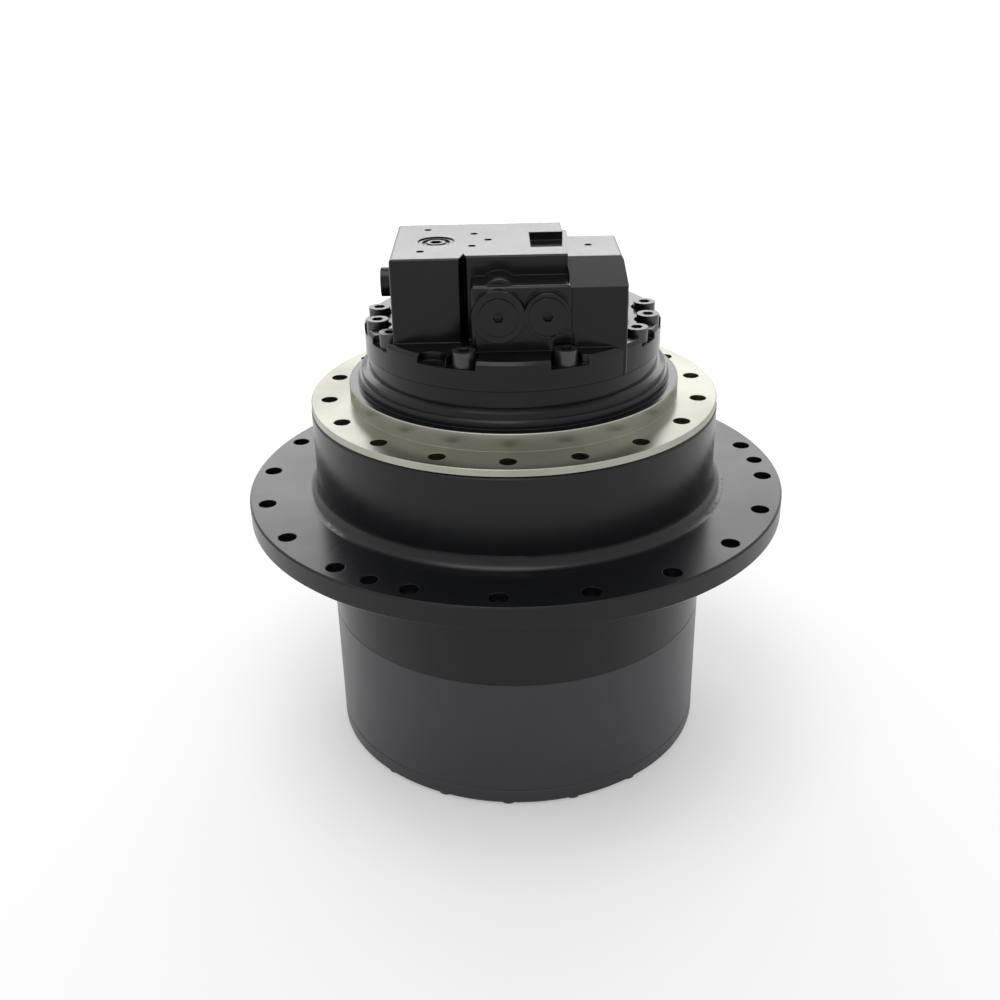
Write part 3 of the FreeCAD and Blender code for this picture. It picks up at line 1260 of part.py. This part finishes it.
def head_hollows():
    """Clearance cut into the head's outside: slope, groove, recess and screw scallops."""
    top = value("head_top")
    right_top = value("right_top")
    right = value("head_mid_right")
    front = value("head_right_front")
    slope = prism([(front - 5, right_top - 15.5), (front + 54, right_top),
                   (front + 54, right_top + 9), (front - 5, right_top + 9)],
                  right + 0.01, value("head_right") - right + 5)
    face = value("head_mid_front")
    groove_left = value("head_groove")
    groove = Part.Face(Part.makePolygon([
        Vector(groove_left, face - 12, value("head_low")),
        Vector(groove_left + 5, face + 10, value("head_low")),
        Vector(groove_left + 11, face - 12, value("head_low")),
        Vector(groove_left, face - 12, value("head_low"))])).extrude(Vector(0, 0, 200))
    recess = Part.makeBox(60, 58, 30, Vector(17, -47, right_top))
    edge = Part.makeBox(20, 200, 30, Vector(right, -100, right_top))
    tools = [slope, groove, recess, edge]
    seat = value("head_cap_low")
    for turn in HEAD_SCREW_TURNS:
        near = on_circle(value("head_screw_circle"), float(turn))
        far = on_circle(value("head_rad"), float(turn))
        tools.append(post(13, seat, seat + 27, near))
        tools.append(post(15, seat, seat + 27, far))
    spare = on_circle(value("head_rad") - 1.5, -121.6)
    tools.append(post(14, seat, seat + 27, spare))
    tools.append(Part.makeBox(34, 40, 27, Vector(31, -164, seat)))
    ring_seat = Vector(-70.3, -16.6, 0)
    tools.append(post(17, top - 9, top + 1, ring_seat))
    return [shaped("head_hollow_%d" % k, tool) for k, tool in enumerate(tools)]


def head_bores():
    """Bores, galleries, ports and tapped holes of the motor head."""
    holes = [
        rod("bore_rear_bearing", "rear_race_rad", "Z", "case_top - 1", "rear_race_tall + 3"),
        rod("bore_spool", "spool_rad", "X", "head_left - 1", "head_right - head_left + 2",
            ("0", "spool_z")),
        rod("bore_two_speed", "pilot_rad", "X", "pilot_low", "head_right - pilot_low + 1",
            ("pilot_off", "pilot_z")),
        rod("bore_drain", "4", "Z", "case_top - 1", "head_top - case_top - 20", ("-84", "40")),
        rod("port_drain", "9.5", "Y", "head_back - 16", "20", ("-84", "head_top - 20")),
        rod("port_pilot", "5.8", "Y", "head_right_back - 12", "20",
            ("head_right - 12", "pilot_z + pilot_port_rise")),
        rod("bore_pilot", "2.5", "Y", "pilot_off", "head_right_back - pilot_off - 4",
            ("head_right - 12", "pilot_z")),
        rod("bore_pilot_rise", "2.5", "Z", "pilot_z", "pilot_port_rise",
            ("head_right - 12", "head_right_back - 8")),
    ]
    for side in ("left", "right"):
        holes.append(rod("port_work_" + side, "port_rad", "Y", "head_back - port_deep", "50",
                         ("port_" + side, "spool_z")))
        holes.append(rod("gallery_work_" + side, "9", "Y", "0", "head_back",
                         ("port_" + side, "spool_z")))
        holes.append(rod("bore_relief_" + side, "relief_rad", "Y", "relief_face - 10", "74",
                         ("relief_" + side, "relief_z")))
        holes.append(rod("seat_relief_" + side, "6", "Y", "relief_face + 60", "62",
                         ("relief_" + side, "relief_z")))
    for name, across in (("gallery_left", "-piston_circle"), ("gallery_right", "piston_circle")):
        holes.append(rod(name, "8", "Z", "case_top - 1", "spool_level", (across, "0")))
    tapped = ((-79.8, 28.6), (-83.2, -55.4), (-35.1, 9.3), (-36.7, -37.9), (-21.8, -15.4))
    for number, (across, along) in enumerate(tapped):
        holes.append(rod("tapped_%d" % number, "3.4", "Z", "head_top - 12", "20",
                         (str(across), str(along))))
    holes.append(rod("tapped_right", "3.4", "Z", "right_top - 12", "20", ("72", "-9.7")))
    for number, turn in enumerate(HEAD_SCREW_TURNS):
        place = on_circle(value("head_screw_circle"), float(turn))
        clear = post(value("head_screw_rad + loose_fit"), value("case_top") - 1,
                     value("head_low") + 5, place)
        holes.append(shaped("head_clearance_%d" % number, clear))
    return holes


def make_end_cover():
    """Motor head: the end cover of the motor case, in one casting with its valve block."""
    doc.recompute()
    return keep(cut("end_cover", head_casting(), *(head_hollows() + head_bores())))


def make_head_screws():
    """Screws that hold the motor head on the spindle."""
    screws = []
    for turn in HEAD_SCREW_TURNS:
        seat = value("head_cap_low")
        place = on_circle(value("head_screw_circle"), float(turn))
        screws.append(cap_screw(value("head_screw_rad"), value("head_cap_rad"), seat,
                                seat + value("head_cap_tall"),
                                value("case_top - head_screw_grip"), place))
    return keep(shaped("end_cover_screws", Part.makeCompound(screws)))


# ---------------------------------------------------------------- valves in the motor head
def along_x(radius, low, high, y, z):
    return Part.makeCylinder(radius, high - low, Vector(low, y, z), Vector(1, 0, 0))


def along_y(radius, low, high, x, z):
    return Part.makeCylinder(radius, high - low, Vector(x, low, z), Vector(0, 1, 0))


def spring_between(start, finish, radius, wire, turns):
    """A coil spring between two points."""
    way = finish - start
    spring = coil(radius, wire, 0, way.Length, turns)
    spring.Placement = Placement(start, Rotation(UP, way)).multiply(spring.Placement)
    return spring


def make_relief_valves():
    """Two relief valves: screwed sleeve, poppet and spring in each bore."""
    sleeves = []
    poppets = []
    springs = []
    face = value("relief_face")
    z = value("relief_z")
    rad = value("relief_rad")
    for side in ("left", "right"):
        x = value("relief_" + side)
        sleeve = along_y(rad, face, face + 64, x, z)
        sleeve = sleeve.fuse(along_y(rad + 3, face - 2, face, x, z))
        sleeve = sleeve.cut(along_y(8 + value("running_fit"), face + 10, face + 65, x, z))
        key = hexagon(8, 0, 6, Vector())
        key.rotate(Vector(), Vector(1, 0, 0), -90)
        key.translate(Vector(x, face - 2, z))
        sleeves.append(sleeve.cut(key))
        poppet = along_y(8, face + 42, face + 60, x, z)
        nose = Part.makeCone(8, 4.5, 3.7, Vector(x, face + 60, z), Vector(0, 1, 0))
        poppets.append(poppet.fuse(nose))
        springs.append(spring_between(Vector(x, face + 10, z), Vector(x, face + 42, z), 6, 1.4, 6))
    keep(shaped("relief_valve_plugs", Part.makeCompound(sleeves)))
    keep(shaped("relief_poppets", Part.makeCompound(poppets)))
    keep(shaped("relief_springs", Part.makeCompound(springs)))


def make_spools():
    """Counterbalance spool and two-speed spool, with their springs and plugs."""
    z = value("spool_z")
    rad = value("spool_rad")
    fit = value("running_fit")
    half = value("spool_half")
    left = value("head_left")
    right = value("head_right")
    spool = along_x(rad - fit, -half, half, 0, z)
    for middle in (-44, -15, 15, 44):
        waist = along_x(rad + 1, middle - 7, middle + 7, 0, z)
        spool = spool.cut(waist.cut(along_x(rad - 4, middle - 8, middle + 8, 0, z)))
    keep(shaped("counterbalance_spool", spool))

    stop = half + 30
    springs = [spring_between(Vector(-stop, 0, z), Vector(-half, 0, z), 9, 1.6, 5),
               spring_between(Vector(half, 0, z), Vector(stop, 0, z), 9, 1.6, 5)]
    keep(shaped("counterbalance_springs", Part.makeCompound(springs)))

    pilot_z = value("pilot_z")
    pilot_y = value("pilot_off")
    pilot_rad = value("pilot_rad")
    start = value("pilot_low")
    pilot = along_x(pilot_rad - fit, start + 14, start + 36, pilot_y, pilot_z)
    waist = along_x(pilot_rad + 1, start + 21, start + 29, pilot_y, pilot_z)
    waist = waist.cut(along_x(4, start + 20, start + 30, pilot_y, pilot_z))
    keep(shaped("two_speed_spool", pilot.cut(waist)))
    keep(shaped("two_speed_spring", spring_between(
        Vector(start, pilot_y, pilot_z), Vector(start + 14, pilot_y, pilot_z), 5, 0.9, 4)))

    left_plug = along_x(rad, left, -stop, 0, z).fuse(along_x(rad + 1.5, left - 15, left, 0, z))
    right_plug = along_x(rad, stop, right, 0, z).fuse(along_x(rad + 1.5, right, right + 3, 0, z))
    pilot_plug = along_x(pilot_rad, start + 40, right, pilot_y, pilot_z)
    pilot_plug = pilot_plug.fuse(along_x(11.5, right, right + 11, pilot_y, pilot_z))
    for far, x_way, y, level in ((left - 15, 1, 0, z), (right + 3, -1, 0, z),
                                 (right + 11, -1, pilot_y, pilot_z)):
        key = hexagon(10, 0, 6, Vector())
        key.rotate(Vector(), Vector(0, 1, 0), 90 * x_way)
        key.translate(Vector(far, y, level))
        left_plug = left_plug.cut(key)
        right_plug = right_plug.cut(key)
        pilot_plug = pilot_plug.cut(key)
    keep(shaped("spool_plugs", Part.makeCompound([left_plug, right_plug, pilot_plug])))


def make_block_plugs():
    """Round plug in the head's top, with a key socket, and a small plug on its left side."""
    top = value("head_top")
    place = Vector(-70.3, -16.6, 0)
    large = post(17, top - 9, top - 1, place)
    large = large.cut(post(13, top - 2.5, top, place).cut(post(9, top - 3, top, place)))
    large = large.cut(hexagon(10, top - 6, top, place))
    left = value("head_left")
    small = along_x(5.5, left - 4, left, value("head_front") + 49, top - 23)
    return keep(shaped("block_plugs", Part.makeCompound([large, small])))


# ---------------------------------------------------------------- build, check and export
make_spindle()
make_hub()
make_ring_gear()
make_cover()
make_cover_screws()
make_oil_plugs()
make_thrust_pad()
make_main_bearings()
make_bearing_nut()
make_floating_seal()
make_carrier_two()
make_carrier_screws()
make_planet_stages()
make_suns()
make_carrier_one()
make_motor_shaft()
make_shaft_bearings()
make_swash_plate()
make_swash_cradles()
make_servo_piston()
make_pistons()
make_slippers()
make_retainer()
make_ball_guide()
make_cylinder_block()
make_block_spring()
make_valve_plate()
make_brake()
make_end_cover()
make_head_screws()
make_relief_valves()
make_spools()
make_block_plugs()

doc.recompute()
for thing in doc.Objects:
    if "Invalid" in thing.State or "Error" in thing.State:
        raise RuntimeError("%s did not recompute: %s" % (thing.Name, thing.State))
for node in nodes:
    if node.Shape.isNull() or not node.Shape.isValid():
        raise RuntimeError(node.Label + " has no valid shape")

os.makedirs("parts", exist_ok=True)
for node in nodes:
    node.Shape.exportStep("parts/%s.step" % node.Label)
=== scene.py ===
import math
import bpy
from mathutils import Matrix, Vector

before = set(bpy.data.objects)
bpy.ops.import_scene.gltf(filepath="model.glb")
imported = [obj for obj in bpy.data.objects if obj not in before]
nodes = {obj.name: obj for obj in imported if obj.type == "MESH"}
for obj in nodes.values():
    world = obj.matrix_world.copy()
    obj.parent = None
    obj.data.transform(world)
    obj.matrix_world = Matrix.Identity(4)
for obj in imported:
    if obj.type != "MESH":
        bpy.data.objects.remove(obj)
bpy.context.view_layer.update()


# ---------------------------------------------------------------- motor head casting
# The end cover of the motor and its valve block are one ductile iron casting, sprayed with
# black gloss enamel.  Its top is machined flat; the cast sides keep a fine sand grain that
# the paint only half fills, and every edge is rounded where the mould or a file broke it.
def linear(sheet_colour):
    """An sRGB hex value as linear colour for a shader."""
    channels = [int(sheet_colour[k:k + 2], 16) / 255 for k in (1, 3, 5)]
    return [c / 12.92 if c <= 0.04045 else ((c + 0.055) / 1.055) ** 2.4 for c in channels] + [1.0]


def add_node(tree, kind, settings=None, **inputs):
    """Add a shader node; each link or value goes to the input socket of that name."""
    node = tree.nodes.new(kind)
    for key, amount in (settings or {}).items():
        setattr(node, key, amount)
    for key, source in inputs.items():
        socket = node.inputs[int(key[1:]) if key[1:].isdigit() else key.replace("_", " ")]
        if isinstance(source, bpy.types.NodeSocket):
            tree.links.new(source, socket)
        else:
            socket.default_value = source
    return node


def new_material(name, rough, metallic=0.0):
    """A node material with its surface shader and the Object coordinates."""
    material = bpy.data.materials.new(name)
    material.use_nodes = True
    tree = material.node_tree
    shader = tree.nodes["Principled BSDF"]
    shader.inputs["Roughness"].default_value = rough
    shader.inputs["Metallic"].default_value = metallic
    return material, tree, shader, add_node(tree, "ShaderNodeTexCoord").outputs["Object"]


def ramp(tree, source, *stops):
    """Map a value to colours at the given places."""
    node = add_node(tree, "ShaderNodeValToRGB", Fac=source)
    for number, (at, colour) in enumerate(stops):
        stop = node.color_ramp.elements[number] if number < 2 else node.color_ramp.elements.new(at)
        stop.position = at
        stop.color = linear(colour)
    return node.outputs["Color"]


def bump(tree, height, strength, distance, below=None):
    """Roughen the surface by a height pattern, on top of another bump where one is given."""
    node = add_node(tree, "ShaderNodeBump", Height=height, Strength=strength, Distance=distance)
    if below is not None:
        tree.links.new(below, node.inputs["Normal"])
    return node.outputs["Normal"]


def soft_edges(tree, radius):
    """Edges broken to a small radius, as paint and handling leave them."""
    return add_node(tree, "ShaderNodeBevel", {"samples": 6}, Radius=radius).outputs["Normal"]


def sprayed_enamel(name, dark, light, rough, grain_mm, grain_high, edge, shine):
    """Sprayed enamel on iron: nearly black, its orange peel over the casting's sand grain."""
    material, tree, shader, place = new_material(name, rough)
    patches = add_node(tree, "ShaderNodeTexNoise", Vector=place, Scale=9.0, Detail=3.0)
    tree.links.new(ramp(tree, patches.outputs["Fac"], (0.35, dark), (0.7, light)),
                   shader.inputs["Base Color"])
    uneven = add_node(tree, "ShaderNodeTexNoise", Vector=place, Scale=14.0, Detail=4.0)
    gloss = add_node(tree, "ShaderNodeMapRange", Value=uneven.outputs["Fac"],
                     To_Min=rough * 0.8, To_Max=rough * 1.35)
    tree.links.new(gloss.outputs["Result"], shader.inputs["Roughness"])
    shader.inputs["Specular IOR Level"].default_value = shine
    peel = add_node(tree, "ShaderNodeTexNoise", Vector=place, Scale=400.0, Detail=1.0)
    grain = add_node(tree, "ShaderNodeTexNoise", Vector=place, Scale=1000.0 / grain_mm, Detail=3.0)
    smooth = bump(tree, peel.outputs["Fac"], 0.25, 0.00003, soft_edges(tree, edge))
    tree.links.new(bump(tree, grain.outputs["Fac"], grain_high, 0.0004, smooth),
                   shader.inputs["Normal"])
    return material


def paint(material, *names):
    """Give a finish to nodes of the frame."""
    for name in names:
        nodes[name].data.materials.clear()
        nodes[name].data.materials.append(material)


head_enamel = sprayed_enamel("head_enamel", "#0b0c0e", "#101113", 0.2, 2.2, 0.16, 0.0015, 0.25)
paint(head_enamel, "end_cover", "relief_valve_plugs", "spool_plugs", "block_plugs")


# ---------------------------------------------------------------- hub casting
# The hub with its sprocket flange is turned from an iron casting and sprayed with the same
# enamel.  Flange and walls are machined, so the paint lies smoother than on the head.
hub_enamel = sprayed_enamel("hub_enamel", "#0e0f12", "#131418", 0.26, 3.0, 0.05, 0.0008, 0.3)
paint(hub_enamel, "hub")


# ---------------------------------------------------------------- ring gear and gear cover
# The steel ring gear is clamped between hub and cover by the long screws.  All three are
# painted together, in one coat.
# Ring gear and cover are given a lighter violet grey than the hub: partly their satin paint,
# partly a painted reflection of the bright floor below them.
drum_enamel_and_reflection = sprayed_enamel("drum_enamel_and_reflection", "#2a292f", "#302f36", 0.34, 4.0, 0.04, 0.0006, 0.5)
paint(drum_enamel_and_reflection, "ring_gear", "gear_cover")


# ---------------------------------------------------------------- spindle
# Ductile iron spindle.  The frame flange and its pilot collar are bare, finely turned and
# oiled; masked off above the collar, where the neck below the motor head is painted black.
def turned_steel(name, colour, dull, rough, pitch_mm):
    """Bare turned metal: fine rings about the axis that stretch every reflection."""
    material, tree, shader, place = new_material(name, rough, 1.0)
    apart = add_node(tree, "ShaderNodeSeparateXYZ", Vector=place)
    flat = add_node(tree, "ShaderNodeCombineXYZ", X=apart.outputs["X"], Y=apart.outputs["Y"])
    radius = add_node(tree, "ShaderNodeVectorMath", {"operation": "LENGTH"},
                      _0=flat.outputs["Vector"])
    along = add_node(tree, "ShaderNodeMath", {"operation": "ADD"}, _0=radius.outputs["Value"],
                     _1=apart.outputs["Z"])
    lathe = add_node(tree, "ShaderNodeTexNoise", {"noise_dimensions": "1D"},
                     W=along.outputs["Value"], Scale=1000.0 / pitch_mm, Detail=3.0)
    oil = add_node(tree, "ShaderNodeTexNoise", Vector=place, Scale=7.0, Detail=5.0)
    tree.links.new(ramp(tree, oil.outputs["Fac"], (0.3, dull), (0.65, colour)),
                   shader.inputs["Base Color"])
    tree.links.new(bump(tree, lathe.outputs["Fac"], 0.35, 0.00005, soft_edges(tree, 0.0005)),
                   shader.inputs["Normal"])
    shader.inputs["Anisotropic"].default_value = 0.85
    tangent = add_node(tree, "ShaderNodeTangent", {"direction_type": "RADIAL", "axis": "Z"})
    tree.links.new(tangent.outputs["Tangent"], shader.inputs["Tangent"])
    return material, tree, shader, apart.outputs["Z"]


def painted_above(material, tree, bare, level, z, coat):
    """Mix bare metal with enamel above a level."""
    output = next(node for node in tree.nodes if node.type == "OUTPUT_MATERIAL")
    above = add_node(tree, "ShaderNodeMath", {"operation": "GREATER_THAN"}, _0=z, _1=level)
    mix = add_node(tree, "ShaderNodeMixShader", Fac=above.outputs["Value"])
    tree.links.new(bare.outputs["BSDF"], mix.inputs[1])
    tree.links.new(coat.outputs["BSDF"], mix.inputs[2])
    tree.links.new(mix.outputs["Shader"], output.inputs["Surface"])


neck_paint_from = 0.3843
spindle_finish, tree, bare, z = turned_steel("spindle_finish", "#b7b6ab", "#908f86", 0.36, 0.9)
coat = add_node(tree, "ShaderNodeBsdfPrincipled", Base_Color=linear("#0d0e10"), Roughness=0.22,
                Specular_IOR_Level=0.25,
                Normal=soft_edges(tree, 0.0012))
painted_above(spindle_finish, tree, bare, neck_paint_from, z, coat)
paint(spindle_finish, "spindle")


# ---------------------------------------------------------------- screws and plugs
# Socket-head screws and hexagon-socket plugs: hardened steel, blackened in a hot oxide bath
# and oiled, a little browner and duller than the enamel around them.
def oxide_steel(name, dark, light, rough):
    """Blackened steel or black rubber: fine spots and a dull sheen."""
    material, tree, shader, place = new_material(name, rough)
    spots = add_node(tree, "ShaderNodeTexNoise", Vector=place, Scale=120.0, Detail=4.0)
    tree.links.new(ramp(tree, spots.outputs["Fac"], (0.35, dark), (0.7, light)),
                   shader.inputs["Base Color"])
    tree.links.new(bump(tree, spots.outputs["Fac"], 0.2, 0.0001, soft_edges(tree, 0.0006)),
                   shader.inputs["Normal"])
    shader.inputs["Specular IOR Level"].default_value = 0.7
    return material


screw_oxide = oxide_steel("screw_oxide", "#17171a", "#242325", 0.34)
paint(screw_oxide, "end_cover_screws", "cover_screws", "oil_plugs", "carrier_two_screws")


# ---------------------------------------------------------------- gears, shafts and bearings
# Case-hardened gears and shafts have ground flanks; bearing races and balls are ground and
# polished.  All of them run in oil, which leaves a faint amber film.
def machined(name, colour, dull, rough, scale):
    """Ground metal with an uneven oil film."""
    material, tree, shader, place = new_material(name, rough, 1.0)
    film = add_node(tree, "ShaderNodeTexNoise", Vector=place, Scale=scale, Detail=4.0)
    tree.links.new(ramp(tree, film.outputs["Fac"], (0.35, dull), (0.7, colour)),
                   shader.inputs["Base Color"])
    marks = add_node(tree, "ShaderNodeTexNoise", Vector=place, Scale=900.0, Detail=2.0)
    tree.links.new(bump(tree, marks.outputs["Fac"], 0.15, 0.00003, soft_edges(tree, 0.0004)),
                   shader.inputs["Normal"])
    return material


gear_steel = machined("gear_steel", "#9a9a98", "#7d7c78", 0.3, 25.0)
paint(gear_steel, "drive_shaft", "sun_gear_two", "motor_shaft", "cylinder_block", "swash_plate",
      "retainer_plate", "ball_guide", "pistons", "servo_piston", "planet_pins_one",
      "planet_pins_two", "counterbalance_spool", "two_speed_spool", "relief_poppets",
      *[name for name in nodes if name.startswith(("planet_one_", "planet_two_"))])
bearing_steel = machined("bearing_steel", "#c4c5c6", "#adaeb0", 0.14, 15.0)
paint(bearing_steel, "main_bearing_inner_races", "main_bearing_outer_races",
      "main_bearing_balls", "shaft_bearing_outer_race", "shaft_bearing_inner_set",
      "rear_shaft_bearing", "seal_ring_fixed", "seal_ring_moving")
bare_casting = machined("bare_casting", "#6e6c69", "#55534f", 0.5, 40.0)
paint(bare_casting, "carrier_one", "carrier_two", "swash_cradles", "brake_piston",
      "bearing_nut")


# ---------------------------------------------------------------- bronze, springs and rubber
# Bronze thrust pad, cages, slippers and valve plate are warm and fairly bright.  The
# oil-tempered spring wire and the sintered brake lining are dull brown, the nitrile rubber of
# the seals is a soft black.
bronze = machined("bronze", "#b08a4e", "#94713c", 0.32, 30.0)
paint(bronze, "main_bearing_cages", "slippers", "valve_plate", "thrust_pad")
spring_wire = machined("spring_wire", "#5b5854", "#45433f", 0.36, 60.0)
paint(spring_wire, "block_spring", "brake_springs", "relief_springs", "counterbalance_springs",
      "two_speed_spring")
plate_lining = machined("plate_lining", "#6b5238", "#4d3a28", 0.6, 200.0)
paint(plate_lining, "brake_friction_plates")
paint(bare_casting, "brake_separator_plates")
nitrile_rubber = oxide_steel("nitrile_rubber", "#101011", "#19191a", 0.5)
paint(nitrile_rubber, "toric_ring_fixed", "toric_ring_moving", "shaft_seal")


# ---------------------------------------------------------------- floor, light and camera
# A pale studio floor with a painted glow that grows with distance, so it turns white away from the
# drive, inside a white surround.  A wide soft lamp behind the drive lights its upward faces, and a
# weaker one hangs over its front.
def light_path_white(tree):
    """1 where a camera, mirror or glass ray looks, otherwise 0."""
    path = add_node(tree, "ShaderNodeLightPath")
    seen = add_node(tree, "ShaderNodeMath", {"operation": "MAXIMUM"},
                    _0=path.outputs["Is Camera Ray"], _1=path.outputs["Is Glossy Ray"])
    return add_node(tree, "ShaderNodeMath", {"operation": "MAXIMUM"}, _0=seen.outputs["Value"],
                    _1=path.outputs["Is Transmission Ray"]).outputs["Value"]


floor_reach = 30.0
bpy.ops.object.select_all(action="DESELECT")
bpy.ops.mesh.primitive_circle_add(vertices=96, radius=floor_reach, fill_type="NGON",
                                  location=(0, 0, 0))
floor = bpy.context.object
floor.name = "floor"
floor_paint = bpy.data.materials.new("floor_paint")
floor_paint.use_nodes = True
tree = floor_paint.node_tree
shader = tree.nodes["Principled BSDF"]
shader.inputs["Base Color"].default_value = linear("#e6e6e6")
shader.inputs["Roughness"].default_value = 1.0
shader.inputs["Specular IOR Level"].default_value = 0.0
shader.inputs["Emission Color"].default_value = (1, 1, 1, 1)
place = add_node(tree, "ShaderNodeTexCoord").outputs["Object"]
away = add_node(tree, "ShaderNodeVectorMath", {"operation": "LENGTH"}, _0=place)
# Painted glow: the floor's emission for camera, mirror and glass rays rises from 0.35 near the
# drive to 1.0 at 5 m.
glow_fade_by_distance = add_node(tree, "ShaderNodeMapRange", Value=away.outputs["Value"], From_Min=0.8,
                From_Max=5.0, To_Min=0.35, To_Max=1.0)
painted_floor_glow = add_node(tree, "ShaderNodeMath", {"operation": "MULTIPLY"}, _0=light_path_white(tree),
                _1=glow_fade_by_distance.outputs["Result"])
tree.links.new(painted_floor_glow.outputs["Value"], shader.inputs["Emission Strength"])
floor.data.materials.append(floor_paint)

world = bpy.data.worlds.new("surround")
bpy.context.scene.world = world
world.use_nodes = True
tree = world.node_tree
background = tree.nodes["Background"]
background.inputs["Color"].default_value = (1, 1, 1, 1)
strength = add_node(tree, "ShaderNodeMapRange", Value=light_path_white(tree), To_Min=0.5,
                    To_Max=1.0)
tree.links.new(strength.outputs["Result"], background.inputs["Strength"])


def soft_lamp(name, place, aim, wide, tall, watts):
    """A rectangular area lamp that points at a place and stays out of the picture."""
    data = bpy.data.lights.new(name, "AREA")
    data.shape = "RECTANGLE"
    data.size = wide
    data.size_y = tall
    data.energy = watts
    lamp = bpy.data.objects.new(name, data)
    bpy.context.scene.collection.objects.link(lamp)
    turn = (Vector(aim) - Vector(place)).to_track_quat("-Z", "Y").to_matrix().to_4x4()
    lamp.matrix_world = Matrix.Translation(place) @ turn
    lamp.visible_camera = False
    return lamp


soft_lamp("rear_lamp", (0.0, 3.0, 1.75), (0, 0, 0.4), 4.4, 1.2, 48)
soft_lamp("top_lamp", (-0.3, -0.4, 3.0), (0, 0, 0.3), 1.6, 1.6, 22)

camera_place = (-0.0158, -1.118, 0.7838)
look_down = 25.83
roll = -1.21
camera_data = bpy.data.cameras.new("camera")
camera_data.lens = 42.75
camera_data.sensor_width = 36
camera_data.clip_end = 50
camera = bpy.data.objects.new("camera", camera_data)
bpy.context.scene.collection.objects.link(camera)
camera.matrix_world = (Matrix.Translation(camera_place)
                       @ Matrix.Rotation(math.radians(90 - look_down), 4, "X")
                       @ Matrix.Rotation(math.radians(roll), 4, "Z"))
bpy.context.scene.camera = camera
bpy.context.scene.view_settings.view_transform = "Standard"
